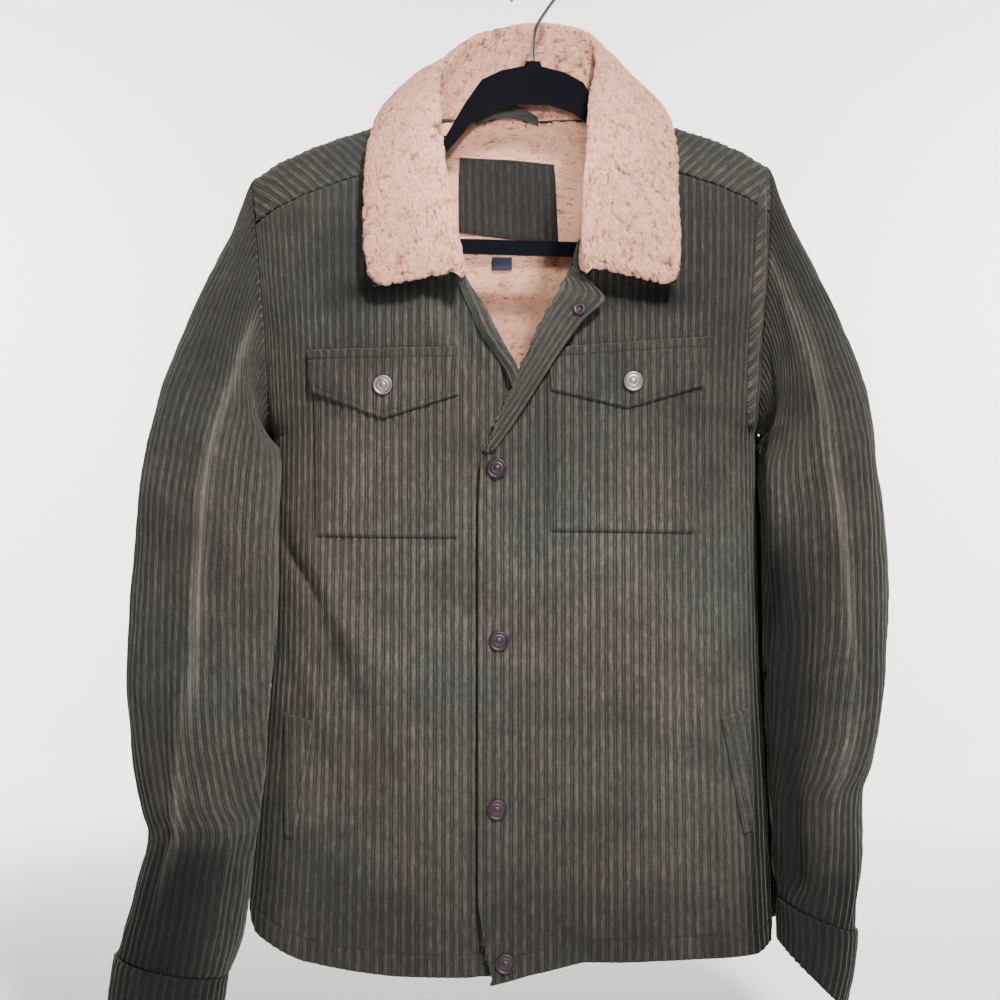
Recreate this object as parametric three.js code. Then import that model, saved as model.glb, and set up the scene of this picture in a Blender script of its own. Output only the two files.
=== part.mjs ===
// A sherpa lined wide-wale corduroy shirt jacket hanging on a flocked hanger.
// Millimetres, +Z up, the wearer's left on +X and the front on -Y.
// The origin is the inner top of the hanger's hook, where the rod carries it.
import * as THREE from "three";

// Driving sizes
const JACKET_X = -20; // the jacket hangs a little to one side of the hook
const SHELL = 2.4; // corduroy wall
const LINING = 4.5; // sherpa lining wall
const COLLAR = 8; // sherpa collar wall
const SEAM = 0.5; // gap between sewn pieces
const ABOVE = 0.8; // clear air between layers that lie on each other
const ARMPIT_Z = -411;
const SHOULDER_HALF = 229;
const SHOULDER_TILT = 5.5; // the wearer's left shoulder sits this much higher, the other as much lower
const BACK_YOKE_Z = -240;
const YOKE_FRONT_DROP = 46; // the yoke comes this far forward over the shoulder line
const BACK_NECK_SHARE = 0.4; // of the yoke's way from the shoulder line to its back seam

// Tables: each row is a height and what is measured there
const BODY = {
  columns: ["z", "halfRight", "halfLeft", "front", "back"],
  rows: [
    [-890, 232, 234, 98, 88],
    [-765, 224, 228, 93, 80],
    [-600, 214, 220, 88, 74],
    [-411, 210, 216, 82, 68],
    [-330, 212, 218, 76, 64],
    [-260, 218, 223, 68, 58],
    [-180, 228, 228, 56, 50],
    [-100, 229, 229, 46, 46],
  ],
};
const SHOULDER = {
  columns: ["fromCentre", "z"],
  rows: [
    [0, -103],
    [40, -111],
    [78, -125],
    [113, -135],
    [145, -144],
    [173, -153],
    [200, -164],
    [229, -181],
  ],
};
// Front edge and neckline of each front, from the hem up
const EDGE_RIGHT = {
  columns: ["z", "x"],
  rows: [
    [-885, -14],
    [-403, -13],
    [-361, -15],
    [-317, -38],
    [-276, -62],
    [-220, -80],
    [-165, -93],
    [-125, -98],
  ],
};
const EDGE_LEFT = {
  columns: ["z", "x"],
  rows: [
    [-885, -34],
    [-844, -43],
    [-810, -48],
    [-488, -48],
    [-440, -46],
    [-407, -34],
    [-369, -17],
    [-323, 4],
    [-274, 30],
    [-220, 46],
    [-165, 62],
    [-125, 69],
  ],
};
const HEM_RIGHT = {
  columns: ["share", "z"],
  rows: [
    [0, -873],
    [0.3, -872],
    [0.55, -864],
    [0.8, -848],
    [1, -822],
  ],
};
const HEM_LEFT = {
  columns: ["share", "z"],
  rows: [
    [0, -879],
    [0.1, -869],
    [0.2, -860],
    [0.5, -861],
    [0.75, -864],
    [0.9, -857],
    [1, -834],
  ],
};
const HEM_BACK = {
  columns: ["share", "z"],
  rows: [
    [0, -822],
    [0.12, -848],
    [0.3, -864],
    [0.5, -868],
    [0.7, -866],
    [0.88, -856],
    [1, -834],
  ],
};
// Folds of the fronts: from (x1, z1) to (x2, z2), how wide and how high; a trough is below 0
const FRONT_FOLDS = {
  columns: ["x1", "z1", "x2", "z2", "wide", "high"],
  rows: [
    [-196, -500, -98, -735, 26, 6],
    [-222, -560, -140, -790, 24, -4],
    [160, -590, 180, -790, 26, -4],
    [-64, -600, -90, -870, 30, 4],
    [70, -640, 84, -870, 32, 4],
    [140, -740, 136, -870, 28, -4],
  ],
};
const BACK_FOLDS = {
  columns: ["x1", "z1", "x2", "z2", "wide", "high"],
  rows: [
    [-160, -330, -110, -560, 28, 5],
    [120, -330, 76, -600, 28, 5],
    [-20, -520, -34, -870, 34, 7],
    [-120, -600, -130, -870, 30, -5],
    [90, -620, 104, -870, 30, -5],
  ],
};
// Sleeve sections from armhole to cuff: outermost and innermost point, middle depth and half depth
const SLEEVE_RIGHT = {
  columns: ["outX", "outZ", "inX", "inZ", "y", "half"],
  rows: [
    [-249.6, -187, -231.4, -411, 0, 50],
    [-267, -243, -236, -419, -8, 54],
    [-304, -322, -233, -428, -20, 56],
    [-326, -379, -230, -444, -30, 57],
    [-339, -445, -228, -480, -38, 57],
    [-345, -515, -228, -532, -43, 56],
    [-348, -594, -231, -600, -47, 54],
    [-347, -664, -237, -662, -50, 52],
    [-338, -730, -243, -722, -53, 48],
    [-330, -759, -248, -748, -55, 46],
    [-338, -796, -251, -789, -59, 45],
    [-349, -838, -257, -842, -63, 44],
    [-356, -858, -264, -876, -66, 42],
  ],
};
const CUFF_RIGHT = {
  columns: ["outX", "outZ", "inX", "inZ", "y", "half"],
  rows: [
    [-358, -858.7, -263, -876.8, -66, 43.5],
    [-362, -886, -267, -904, -68, 43.5],
    [-364, -915, -272, -930, -70, 42],
  ],
};
const SLEEVE_LEFT = {
  columns: ["outX", "outZ", "inX", "inZ", "y", "half"],
  rows: [
    [209.6, -176, 197.4, -411, 0, 50],
    [240, -240, 206, -419, -5, 54],
    [277, -334, 208, -430, -11, 56],
    [294, -392, 207, -447, -16, 57],
    [305, -462, 206, -487, -20, 57],
    [310, -532, 206, -541, -22, 56],
    [310, -603, 207, -606, -24, 55],
    [305, -664, 210, -667, -26, 52],
    [295, -701, 212, -705, -28, 49],
    [286, -722, 213, -728, -30, 47],
    [285, -766, 214, -762, -34, 46],
    [281, -808, 214, -794, -38, 45],
    [278, -842, 214, -816, -41, 43],
  ],
};
const CUFF_LEFT = {
  columns: ["outX", "outZ", "inX", "inZ", "y", "half"],
  rows: [
    [280, -842.8, 212.5, -816.8, -42, 44.5],
    [276, -876, 211.5, -834, -45, 44.5],
    [268, -908, 212, -852, -48, 43],
  ],
};
// Collar stations from the wearer's right front round the neck: where the seam meets the neckline (behind is 1 at the
// back), the roll, the outer edge, and how far the fall bulges between them
const COLLAR_STATIONS = {
  columns: ["seamX", "seamZ", "behind", "rollX", "rollY", "rollZ", "edgeX", "edgeY", "edgeZ", "bulge"],
  rows: [
    [-58, -275, -1, -60, -92, -271, -139, -83, -282, 2],
    [-68, -238, -1, -67, -93, -232, -146, -79, -247, 4],
    [-84, -194, -0.9, -76, -84, -184, -147, -75, -206, 6],
    [-96.5, -149, -0.7, -81, -56, -130, -145, -57, -163, 8],
    [-98.5, -122.6, 0, -82, -10, -92, -137, -8, -126, 9],
    [-88, -128, 1, -72, 12, -74, -127, 32, -125, 9],
    [-66, -127, 1, -50, 30, -56, -96, 62, -124, 8],
    [-20, -123.5, 1, 2, 40, -44, -20, 80, -122, 8],
    [32, -125, 1, 46, 30, -56, 66, 62, -122, 8],
    [57, -127, 1, 57, 12, -74, 104, 32, -123, 9],
    [68.5, -121.5, 0, 55, -10, -92, 118, -8, -124, 9],
    [62, -147, -0.7, 47, -56, -130, 124, -57, -160, 8],
    [48, -191, -0.9, 44, -84, -182, 124, -75, -204, 6],
    [40, -236, -1, 40, -93, -230, 124, -79, -247, 4],
    [38, -272, -1, 42, -92, -268, 122, -83, -284, 2],
  ],
};

const COLORS = {
  corduroy: 0x4b4a3f,
  sherpa: 0xd9b9a0,
  metal: 0x8d8688,
  flock: 0x0d0d14,
  chrome: 0xc9c9cf,
  label: 0x1c2030,
  twill: 0x3c4038,
};

const clamp = (x, lo, hi) => Math.min(hi, Math.max(lo, x));
const mix = (a, b, t) => a + (b - a) * t;
const smooth = (t) => t * t * (3 - 2 * t);

// The value of a named column where the table's first column is x
function lookUp(table, column, x) {
  const k = table.columns.indexOf(column);
  const rows = table.rows;
  if (x <= rows[0][0] === rows[0][0] < rows[1][0]) return rows[0][k];
  for (let i = 1; i < rows.length; i++) {
    const [a, b] = [rows[i - 1], rows[i]];
    if ((x - a[0]) * (x - b[0]) <= 0) return mix(a[k], b[k], smoothShare((x - a[0]) / (b[0] - a[0])));
  }
  return rows[rows.length - 1][k];
}
// Half way between a straight and an eased join, so outlines have no corners at the rows
function smoothShare(t) {
  return mix(t, smooth(t), 0.25);
}

// A point of a table of sections or stations at share s of its length, through all rows on a smooth curve
function sectionAt(table, s) {
  const rows = table.rows;
  const at = clamp(s, 0, 1) * (rows.length - 1);
  const i = Math.min(rows.length - 2, Math.floor(at));
  const t = at - i;
  const row = (j) => rows[clamp(j, 0, rows.length - 1)];
  const [a, b, c, d] = [row(i - 1), row(i), row(i + 1), row(i + 2)];
  const out = {};
  table.columns.forEach((name, k) => {
    out[name] =
      b[k] + 0.5 * t * (c[k] - a[k] + t * (2 * a[k] - 5 * b[k] + 4 * c[k] - d[k] + t * (3 * (b[k] - c[k]) + d[k] - a[k])));
  });
  return out;
}

// How far all folds of a table move the cloth out at (x, z)
function foldHeight(folds, x, z) {
  let sum = 0;
  for (const [x1, z1, x2, z2, wide, high] of folds.rows) {
    const [dx, dz] = [x2 - x1, z2 - z1];
    const along = ((x - x1) * dx + (z - z1) * dz) / (dx * dx + dz * dz);
    const across = ((x - x1) * dz - (z - z1) * dx) / Math.hypot(dx, dz);
    const fade = smooth(clamp(Math.min(along, 1 - along) / 0.3, 0, 1));
    sum += high * fade * Math.exp(-((across / wide) ** 2));
  }
  return sum;
}

const shoulderZ = (x) =>
  lookUp(SHOULDER, "z", Math.abs(x - JACKET_X)) + (SHOULDER_TILT * (x - JACKET_X)) / SHOULDER_HALF;
const halfWidth = (x, z) => lookUp(BODY, x < JACKET_X ? "halfRight" : "halfLeft", z);
const sideX = (side, z) => JACKET_X + side * lookUp(BODY, side < 0 ? "halfRight" : "halfLeft", z);

// The body's outer surface: how far it stands from the side seams' plane at (x, z)
const ARMHOLE_HALF_DEPTH = 50;
function bodyDepth(x, z, front) {
  const share = clamp(Math.abs(x - JACKET_X) / halfWidth(x, z), 0, 1);
  const tip = shoulderZ(sideX(Math.sign(x - JACKET_X) || 1, -180));
  const armholeHalf = (tip - ARMPIT_Z) / 2;
  const low = clamp((z - ARMPIT_Z) / armholeHalf, 0, 1);
  const edge = ARMHOLE_HALF_DEPTH * mix(smooth(low), Math.sqrt(1 - (1 - low) ** 2), share ** 12);
  const rise = mix(2, 1, smooth(clamp((z - ARMPIT_Z) / 90, 0, 1)));
  const middle = lookUp(BODY, front ? "front" : "back", z);
  const depth = edge + (middle - edge) * (1 - share ** mix(5, 3, rise - 1)) ** (1 / rise);
  const roundHeight = mix(60, armholeHalf, smooth(share));
  const below = clamp((shoulderZ(x) - z) / roundHeight, 0, 1);
  const calm = smooth(clamp((1 - share) / 0.12, 0, 1));
  const fold = foldHeight(front ? FRONT_FOLDS : BACK_FOLDS, x, z) * calm;
  return (depth + fold) * Math.sqrt(1 - (1 - below) ** 2);
}
const frontPoint = (x, z, push = 0) => new THREE.Vector3(x, -bodyDepth(x, z, true) - SEAM / 2 + push, z);
const backPoint = (x, z) => new THREE.Vector3(x, bodyDepth(x, z, false) + SEAM / 2, z);

// Where a front's edge crosses the line that runs drop below the shoulder line
function neckX(side, drop) {
  const edge = side < 0 ? EDGE_RIGHT : EDGE_LEFT;
  return lookUp(edge, "x", shoulderZ(lookUp(edge, "x", -123 - drop)) - drop);
}

// Grids of shares: even, or closer together near 1
const even = (n) => Array.from({ length: n + 1 }, (_, i) => i / n);
const quarterTurn = (share) => Math.sin((share * Math.PI) / 2);

// A closed wall on the surface at(u, v): outer face moved out by lift, inner face thick below it
function wall(at, us, vs, thick, lift = 0, closedRound = false) {
  const [outer, inner] = [[], []];
  const span = (list, value, open) => {
    const step = 1e-3 * Math.sign(list[list.length - 1] - list[0]);
    const [lo, hi] = open ? [-Infinity, Infinity] : [Math.min(...list), Math.max(...list)];
    return [clamp(value - step, lo, hi), clamp(value + step, lo, hi)];
  };
  for (const v of vs) {
    for (const u of us) {
      const p = at(u, v);
      const [u0, u1] = span(us, u, closedRound);
      const [v0, v1] = span(vs, v, false);
      const across = at(u1, v).sub(at(u0, v));
      const along = at(u, v1).sub(at(u, v0));
      const normal = across.cross(along).normalize();
      outer.push(p.clone().addScaledVector(normal, lift));
      inner.push(p.clone().addScaledVector(normal, lift - thick));
    }
  }
  const [m, n] = [us.length, vs.length];
  const faces = [];
  const count = outer.length;
  const quad = (a, b, c, d) => faces.push(a, b, c, a, c, d);
  for (let j = 0; j + 1 < n; j++) {
    for (let i = 0; i + 1 < m; i++) {
      const [a, b, c, d] = [j * m + i, j * m + i + 1, (j + 1) * m + i + 1, (j + 1) * m + i];
      quad(a, b, c, d);
      quad(count + a, count + d, count + c, count + b);
    }
  }
  const rim = (a, b) => quad(b, a, count + a, count + b);
  for (let i = 0; i + 1 < m; i++) {
    rim(i, i + 1);
    rim((n - 1) * m + i + 1, (n - 1) * m + i);
  }
  if (!closedRound) {
    for (let j = 0; j + 1 < n; j++) {
      rim((j + 1) * m, j * m);
      rim(j * m + m - 1, (j + 1) * m + m - 1);
    }
  }
  return solid([...outer, ...inner], faces, closedRound ? m : 0);
}

// A geometry from points and triangles; a wall that closes round shares its last column with its first
function solid(points, faces, ringSize) {
  const same = (i) => (ringSize && i % ringSize === ringSize - 1 ? i - ringSize + 1 : i);
  const geometry = new THREE.BufferGeometry();
  geometry.setAttribute("position", new THREE.Float32BufferAttribute(points.flatMap((p) => [p.x, p.y, p.z]), 3));
  geometry.setIndex(faces.map(same));
  return geometry;
}

const group = new THREE.Group();
group.name = "sherpa_lined_jacket";
function add(name, geometry, finish) {
  const looks = {
    corduroy: { roughness: 0.95, metalness: 0 },
    sherpa: { roughness: 1, metalness: 0 },
    twill: { roughness: 0.8, metalness: 0 },
    label: { roughness: 0.6, metalness: 0 },
    flock: { roughness: 1, metalness: 0 },
    metal: { roughness: 0.4, metalness: 1 },
    chrome: { roughness: 0.12, metalness: 1 },
  };
  const material = new THREE.MeshStandardMaterial({ color: COLORS[finish], ...looks[finish] });
  const mesh = new THREE.Mesh(geometry, material);
  mesh.name = name;
  group.add(mesh);
}

// Rows of a body panel from the hem up, with one exactly at the armpit
const ARMPIT_SHARE = 0.69;
const ROWS = [
  ...even(10).map((t) => t * ARMPIT_SHARE),
  ...[0.01, 0.035, 0.08, 0.14, 0.2, 0.255, 0.31].map((t) => t + ARMPIT_SHARE),
];
const FRONT_COLUMNS = 12;
const BACK_COLUMNS = 18;

// A front's (x, z) at share u from its front edge to the side and share v from hem to yoke seam
function frontPlace(side, u, v) {
  const [edge, hem] = side < 0 ? [EDGE_RIGHT, HEM_RIGHT] : [EDGE_LEFT, HEM_LEFT];
  const seam = (x) => shoulderZ(x) - YOKE_FRONT_DROP - SEAM;
  const topX = neckX(side, YOKE_FRONT_DROP);
  const inX = v === 1 ? topX : lookUp(edge, "x", panelZ(lookUp(hem, "z", 0), seam(topX), v));
  const outX = sideX(side, panelZ(lookUp(hem, "z", 1), seam(sideX(side, -220)), v));
  const x = mix(inX, outX, quarterTurn(u));
  return { x, z: panelZ(lookUp(hem, "z", u), seam(x), v) };
}
// The height at share v: the armpit share is at armpit height at the side seam
function panelZ(bottom, top, v) {
  return v < ARMPIT_SHARE
    ? mix(bottom, ARMPIT_Z, v / ARMPIT_SHARE)
    : mix(ARMPIT_Z, top, (v - ARMPIT_SHARE) / (1 - ARMPIT_SHARE));
}
// The wearer's right front passes under the other one
const UNDERLAP = 6.5;
function underlap(x, z) {
  const cover = lookUp(EDGE_LEFT, "x", z);
  return UNDERLAP * smooth(clamp((x - cover + 22) / 16, 0, 1));
}
function frontAt(side, u, v) {
  const { x, z } = frontPlace(side, u, v);
  return frontPoint(x, z, side < 0 ? underlap(x, z) : 0);
}

function backAt(u, v) {
  const side = u < 0.5 ? -1 : 1;
  const share = Math.abs(u - 0.5) * 2;
  const outZ = panelZ(lookUp(HEM_BACK, "z", side < 0 ? 0 : 1), BACK_YOKE_Z - SEAM, v);
  const outX = sideX(side, outZ);
  const x = mix(JACKET_X, outX, quarterTurn(share));
  return backPoint(x, panelZ(lookUp(HEM_BACK, "z", u), BACK_YOKE_Z - SEAM, v));
}

// Half of the yoke: u from neck to armhole, w from -1 at the front seam over the shoulder at 0 to 1 at the back seam
function yokeAt(side, u, w) {
  const tipX = sideX(side, -180);
  const drop = (x) => (w < 0 ? YOKE_FRONT_DROP : shoulderZ(x) - BACK_YOKE_Z) * w * w;
  const edgeX = sideX(side, shoulderZ(tipX) - drop(tipX));
  let inner = JACKET_X;
  if (w < 0) inner = neckX(side, YOKE_FRONT_DROP * w * w);
  else if (w < BACK_NECK_SHARE) inner += (neckX(side, 0) - JACKET_X) * Math.sqrt(1 - (w / BACK_NECK_SHARE) ** 2);
  const x = mix(inner, edgeX, quarterTurn(u));
  const z = shoulderZ(x) - drop(x);
  const lie = w < 0 ? frontPoint(x, z) : backPoint(x, z);
  return w === 0 ? lie.setY(0) : lie;
}

// The yoke is one piece: two halves that share the line down the middle of the back
function yokeWall(thick, lift) {
  const us = even(FRONT_COLUMNS);
  const ws = [-1, -0.75, -0.5, -0.25, 0, 0.14, 0.26, 0.35, BACK_NECK_SHARE, 0.6, 0.8, 1];
  const step = 1e-3;
  const [outer, inner, index] = [[], [], new Map()];
  const place = (side, i, j) => {
    const onMiddle = i === 0 && ws[j] >= BACK_NECK_SHARE;
    const key = `${onMiddle ? 0 : side},${i},${j}`;
    if (index.has(key)) return index.get(key);
    const [u, w] = [us[i], ws[j]];
    const across = yokeAt(side, Math.min(1, u + step), w).sub(yokeAt(side, Math.max(0, u - step), w));
    const along = yokeAt(side, u, Math.min(1, w + step)).sub(yokeAt(side, u, Math.max(-1, w - step)));
    const normal = across.cross(along).multiplyScalar(side).normalize();
    if (onMiddle) normal.setX(0).normalize();
    const p = yokeAt(side, u, w);
    outer.push(p.clone().addScaledVector(normal, lift));
    inner.push(p.clone().addScaledVector(normal, lift - thick));
    index.set(key, outer.length - 1);
    return outer.length - 1;
  };
  const cells = [];
  for (const side of [-1, 1]) {
    for (let j = 0; j + 1 < ws.length; j++) {
      for (let i = 0; i + 1 < us.length; i++) {
        const ring = [place(side, i, j), place(side, i + 1, j), place(side, i + 1, j + 1), place(side, i, j + 1)];
        cells.push(side > 0 ? ring : ring.reverse());
      }
    }
  }
  return closedShell(outer, inner, cells);
}
// Joins outer and inner faces along every edge that only one cell uses
function closedShell(outer, inner, cells) {
  const faces = [];
  const count = outer.length;
  const edges = new Set(cells.flatMap((ring) => ring.map((a, k) => `${a},${ring[(k + 1) % ring.length]}`)));
  for (const ring of cells) {
    for (let k = 1; k + 1 < ring.length; k++) {
      faces.push(ring[0], ring[k], ring[k + 1]);
      faces.push(count + ring[0], count + ring[k + 1], count + ring[k]);
    }
    ring.forEach((a, k) => {
      const b = ring[(k + 1) % ring.length];
      if (!edges.has(`${b},${a}`)) faces.push(b, a, count + a, b, count + a, count + b);
    });
  }
  return solid([...outer, ...inner], faces, 0);
}

// A sleeve's or cuff's ring at share v of its sections; u goes once round, 0 at the outermost point
const SLEEVE_CREASES = {
  columns: ["turn", "from", "to", "wide", "high"],
  rows: [
    [0.32, 0.12, 0.82, 0.035, -4],
    [0.2, 0.2, 0.72, 0.04, 3.5],
    [0.42, 0.15, 0.6, 0.035, 3],
    [0.66, 0.15, 0.8, 0.05, -4],
    [0.82, 0.25, 0.75, 0.05, 3],
  ],
};
function ringAt(table, u, v, frontFirst, creased) {
  const s = sectionAt(table, v);
  const angle = 2 * Math.PI * u;
  const power = 2 / 2.15;
  const round = (a) => Math.sign(a) * Math.abs(a) ** power;
  const plain = smooth(clamp(Math.min(v / 0.12, (1 - v) / 0.1), 0, 1));
  let crease = 0;
  if (creased) {
    for (const [turn, from, to, wide, high] of SLEEVE_CREASES.rows) {
      const lengthwise = smooth(clamp(Math.min(v - from, to - v) / 0.15, 0, 1));
      crease += high * lengthwise * Math.exp(-(((u - turn) / wide) ** 2));
    }
  }
  const swell = 1 + (crease * plain) / 56;
  const along = mix(Math.cos(angle), round(Math.cos(angle)), plain) * swell;
  const deep = mix(Math.sin(angle), round(Math.sin(angle)), plain) * swell;
  const [midX, midZ] = [(s.outX + s.inX) / 2, (s.outZ + s.inZ) / 2];
  const z = midZ + ((s.outZ - s.inZ) / 2) * along;
  const side = s.outX < s.inX ? -1 : 1;
  const hug = creased ? 1 - smooth(clamp(v / 0.14, 0, 1)) : 0;
  return new THREE.Vector3(
    mix(midX + ((s.outX - s.inX) / 2) * along, sideX(side, z) + side * (2 * SEAM + v * 150), hug),
    s.y - (frontFirst ? 1 : -1) * s.half * deep,
    z,
  );
}
const sleeveRows = [0, 0.04, 0.09, 0.16, 0.24, 0.32, 0.42, 0.52, 0.6, 0.67, 0.72, 0.77, 0.83, 0.91, 1];
function sleeve(table, side) {
  return wall((u, v) => ringAt(table, u, v, side < 0, true), even(20), sleeveRows, SHELL, 0, true);
}
function cuff(table, side) {
  return wall((u, v) => ringAt(table, u, v, side < 0, false), even(20), even(3), SHELL + 1, 0.6, true);
}

// The collar's sherpa face: u round the neck, v from the neck seam over the roll to the outer edge
function collarAt(u, v) {
  const s = sectionAt(COLLAR_STATIONS, u);
  const onBody = bodyDepth(s.seamX, s.seamZ, s.behind < 0);
  const seamY = s.behind < 0 ? -onBody + (COLLAR + ABOVE) * s.behind : onBody;
  const seam = new THREE.Vector3(s.seamX, seamY, s.seamZ + ABOVE);
  const roll = new THREE.Vector3(s.rollX, s.rollY, s.rollZ);
  const edge = new THREE.Vector3(s.edgeX, s.edgeY, s.edgeZ);
  const out = edge.clone().sub(seam).normalize();
  const up = roll.clone().sub(seam);
  const over = up.clone().addScaledVector(out, -up.dot(out)).normalize();
  const crest = roll.clone().lerp(edge, 0.22).addScaledVector(over, s.bulge);
  const fall = roll.clone().lerp(edge, 0.6).addScaledVector(over, s.bulge * 0.9);
  const curve = new THREE.CatmullRomCurve3([seam, seam.clone().lerp(roll, 0.55), roll, crest, fall, edge], false, "centripetal");
  return curve.getPoint(v);
}
const collarRows = [0, 0.2, 0.34, 0.42, 0.5, 0.6, 0.7, 0.78, 0.84, 0.87, 0.94, 1];
const undercollarRows = [0.84, 0.87, 0.94, 0.985];
const collarShares = even(33);

// A patch lying on a front: place(u, v) gives (x, z) and its wall is moved out from the panel's points
function patch(place, us, vs, thick, above) {
  const at = (u, v) => {
    const [x, z] = place(u, v);
    return frontPoint(x, z);
  };
  return wall(at, us, vs, thick, above + thick);
}
// A four-cornered place from its corners, each [x, z]: bottom left, bottom right, top right, top left
const fourCorners = (bl, br, tr, tl) => (u, v) => [0, 1].map((k) => mix(mix(bl[k], br[k], u), mix(tl[k], tr[k], u), v));

const POCKETS = {
  right: { corners: [[-186, -502], [-66, -503], [-64, -345], [-189, -343]] },
  left: { corners: [[13, -497], [137, -499], [144, -342], [10, -344]] },
};
const FLAPS = {
  right: { left: [-193, -342], right: [-66, -341], leftFoot: [-191, -377], rightFoot: [-65, -382], point: [-128, -402], snap: [-128, -373] },
  left: { left: [12, -342], right: [149, -331], leftFoot: [14, -378], rightFoot: [144, -373], point: [79, -393], snap: [83, -370] },
};
const POCKET_THICK = 2;
const FLAP_THICK = 2.6;

function flapPlace(flap) {
  return (u, v) => {
    const top = [mix(flap.left[0], flap.right[0], u), mix(flap.left[1], flap.right[1], u)];
    const foot =
      u < 0.5
        ? [mix(flap.leftFoot[0], flap.point[0], u * 2), mix(flap.leftFoot[1], flap.point[1], u * 2)]
        : [mix(flap.point[0], flap.rightFoot[0], u * 2 - 1), mix(flap.point[1], flap.rightFoot[1], u * 2 - 1)];
    return [mix(foot[0], top[0], v), mix(foot[1], top[1], v)];
  };
}

// Slanted welts of the hand pockets
const WELTS = {
  right: fourCorners([-214, -760], [-206, -762], [-189, -660], [-216, -655]),
  left: fourCorners([180, -760], [190, -758], [184, -652], [160, -658]),
};

// Snaps, as profiles from the axis out: [radius, height]. A capped disc shows outside, and inside the open top of the
// placket its first snap shows its socket, a small cup
const SNAP_RADIUS = 8.6;
const SNAP_CAP = [
  [0, 0],
  [SNAP_RADIUS - 1.2, 0],
  [SNAP_RADIUS, 0.9],
  [SNAP_RADIUS - 0.3, 2],
  [SNAP_RADIUS - 2, 2.6],
  [SNAP_RADIUS - 2.6, 2.2],
  [2.6, 2.2],
  [0, 2.9],
];
const SOCKET_RADIUS = 5.4;
const SNAP_SOCKET = [
  [0, 0],
  [SOCKET_RADIUS - 0.4, 0],
  [SOCKET_RADIUS, 0.7],
  [SOCKET_RADIUS - 0.5, 1.8],
  [SOCKET_RADIUS - 1.5, 2.1],
  [SOCKET_RADIUS - 2.8, 1.7],
  [SOCKET_RADIUS - 3.1, 0.7],
  [0, 0.7],
];

// Turns a profile on the cloth's outward direction; at gives the cloth's surface near the snap
function snap(profile, segments, at, step, above) {
  const geometry = new THREE.LatheGeometry(profile.map(([r, y]) => new THREE.Vector2(r, y)), segments);
  const across = at(step, 0).sub(at(-step, 0));
  const along = at(0, step).sub(at(0, -step));
  const normal = across.cross(along).normalize();
  geometry.applyQuaternion(new THREE.Quaternion().setFromUnitVectors(new THREE.Vector3(0, 1, 0), normal));
  const base = at(0, 0).addScaledVector(normal, above);
  geometry.translate(base.x, base.y, base.z);
  geometry.deleteAttribute("uv");
  return geometry;
}
const frontSnap = (x, z, above) => snap(SNAP_CAP, 16, (dx, dz) => frontPoint(x + dx, z + dz), 0.5, above);

// The top of the wearer's left front edge, folded open: u from the fold to the free edge, v from the break up
const TURNED = {
  columns: ["foldX", "foldZ", "edgeX", "edgeZ", "stand"],
  rows: [
    [-41.5, -430, -33, -428, 4],
    [-31.5, -404, -12, -398, 8],
    [-15, -367, 14, -357, 13],
    [5, -324, 40, -320, 14],
    [23.5, -288, 59, -300, 14],
  ],
};
function turnedAt(u, v) {
  const s = sectionAt(TURNED, v);
  const [x, z] = [mix(s.foldX, s.edgeX, u), mix(s.foldZ, s.edgeZ, u)];
  return frontPoint(x, z, -mix(SHELL + 0.6, s.stand, Math.sin((Math.PI / 2) * u)));
}
const SOCKET_AT = { u: 0.67, v: 0.85 };

// The hanger: a flat flocked frame with sloping arms and a trouser bar, and its wire hook
const HANGER_THICK = 6;
const HANGER_TILT = 1.64; // degrees: the wearer's right arm sits higher, as the shoulders do under it
const HANGER_NECK_Z = -81;
const ARM_TOP = [
  [6, -81],
  [8, -85.5],
  [28, -90],
  [45, -98.4],
  [60, -121],
  [75.5, -149.5],
  [100, -152],
  [125, -153],
  [140, -154.5],
  [150, -157],
  [180, -168],
  [196, -175],
  [203, -184],
  [205, -238],
  [198, -250.5],
  [188, -253.5],
];
const ARM_BOTTOM = [
  [178, -240.5],
  [187, -231],
  [188, -205],
  [178, -196],
  [150, -186],
  [104, -178],
  [80, -170],
  [54, -138],
  [36, -125],
  [16, -119],
];
function hangerFrame() {
  const mirrored = (rows) => rows.map(([x, z]) => [-x, z]).reverse();
  const draw = (path, rows) => rows.forEach(([x, z], i) => (i ? path.lineTo(x, z) : path.moveTo(x, z)));
  const outline = new THREE.Shape();
  draw(outline, [...ARM_TOP, ...mirrored(ARM_TOP)]);
  const hole = new THREE.Path();
  draw(hole, [...ARM_BOTTOM, ...mirrored(ARM_BOTTOM)]);
  outline.holes.push(hole);
  const geometry = new THREE.ExtrudeGeometry(outline, { depth: HANGER_THICK, bevelEnabled: false });
  geometry.rotateX(Math.PI / 2);
  geometry.translate(0, HANGER_THICK / 2, -HANGER_NECK_Z);
  geometry.rotateY((HANGER_TILT * Math.PI) / 180);
  geometry.translate(0, 0, HANGER_NECK_Z);
  return geometry;
}
const HOOK_RADIUS = 19;
const WIRE = 3.4;
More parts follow.
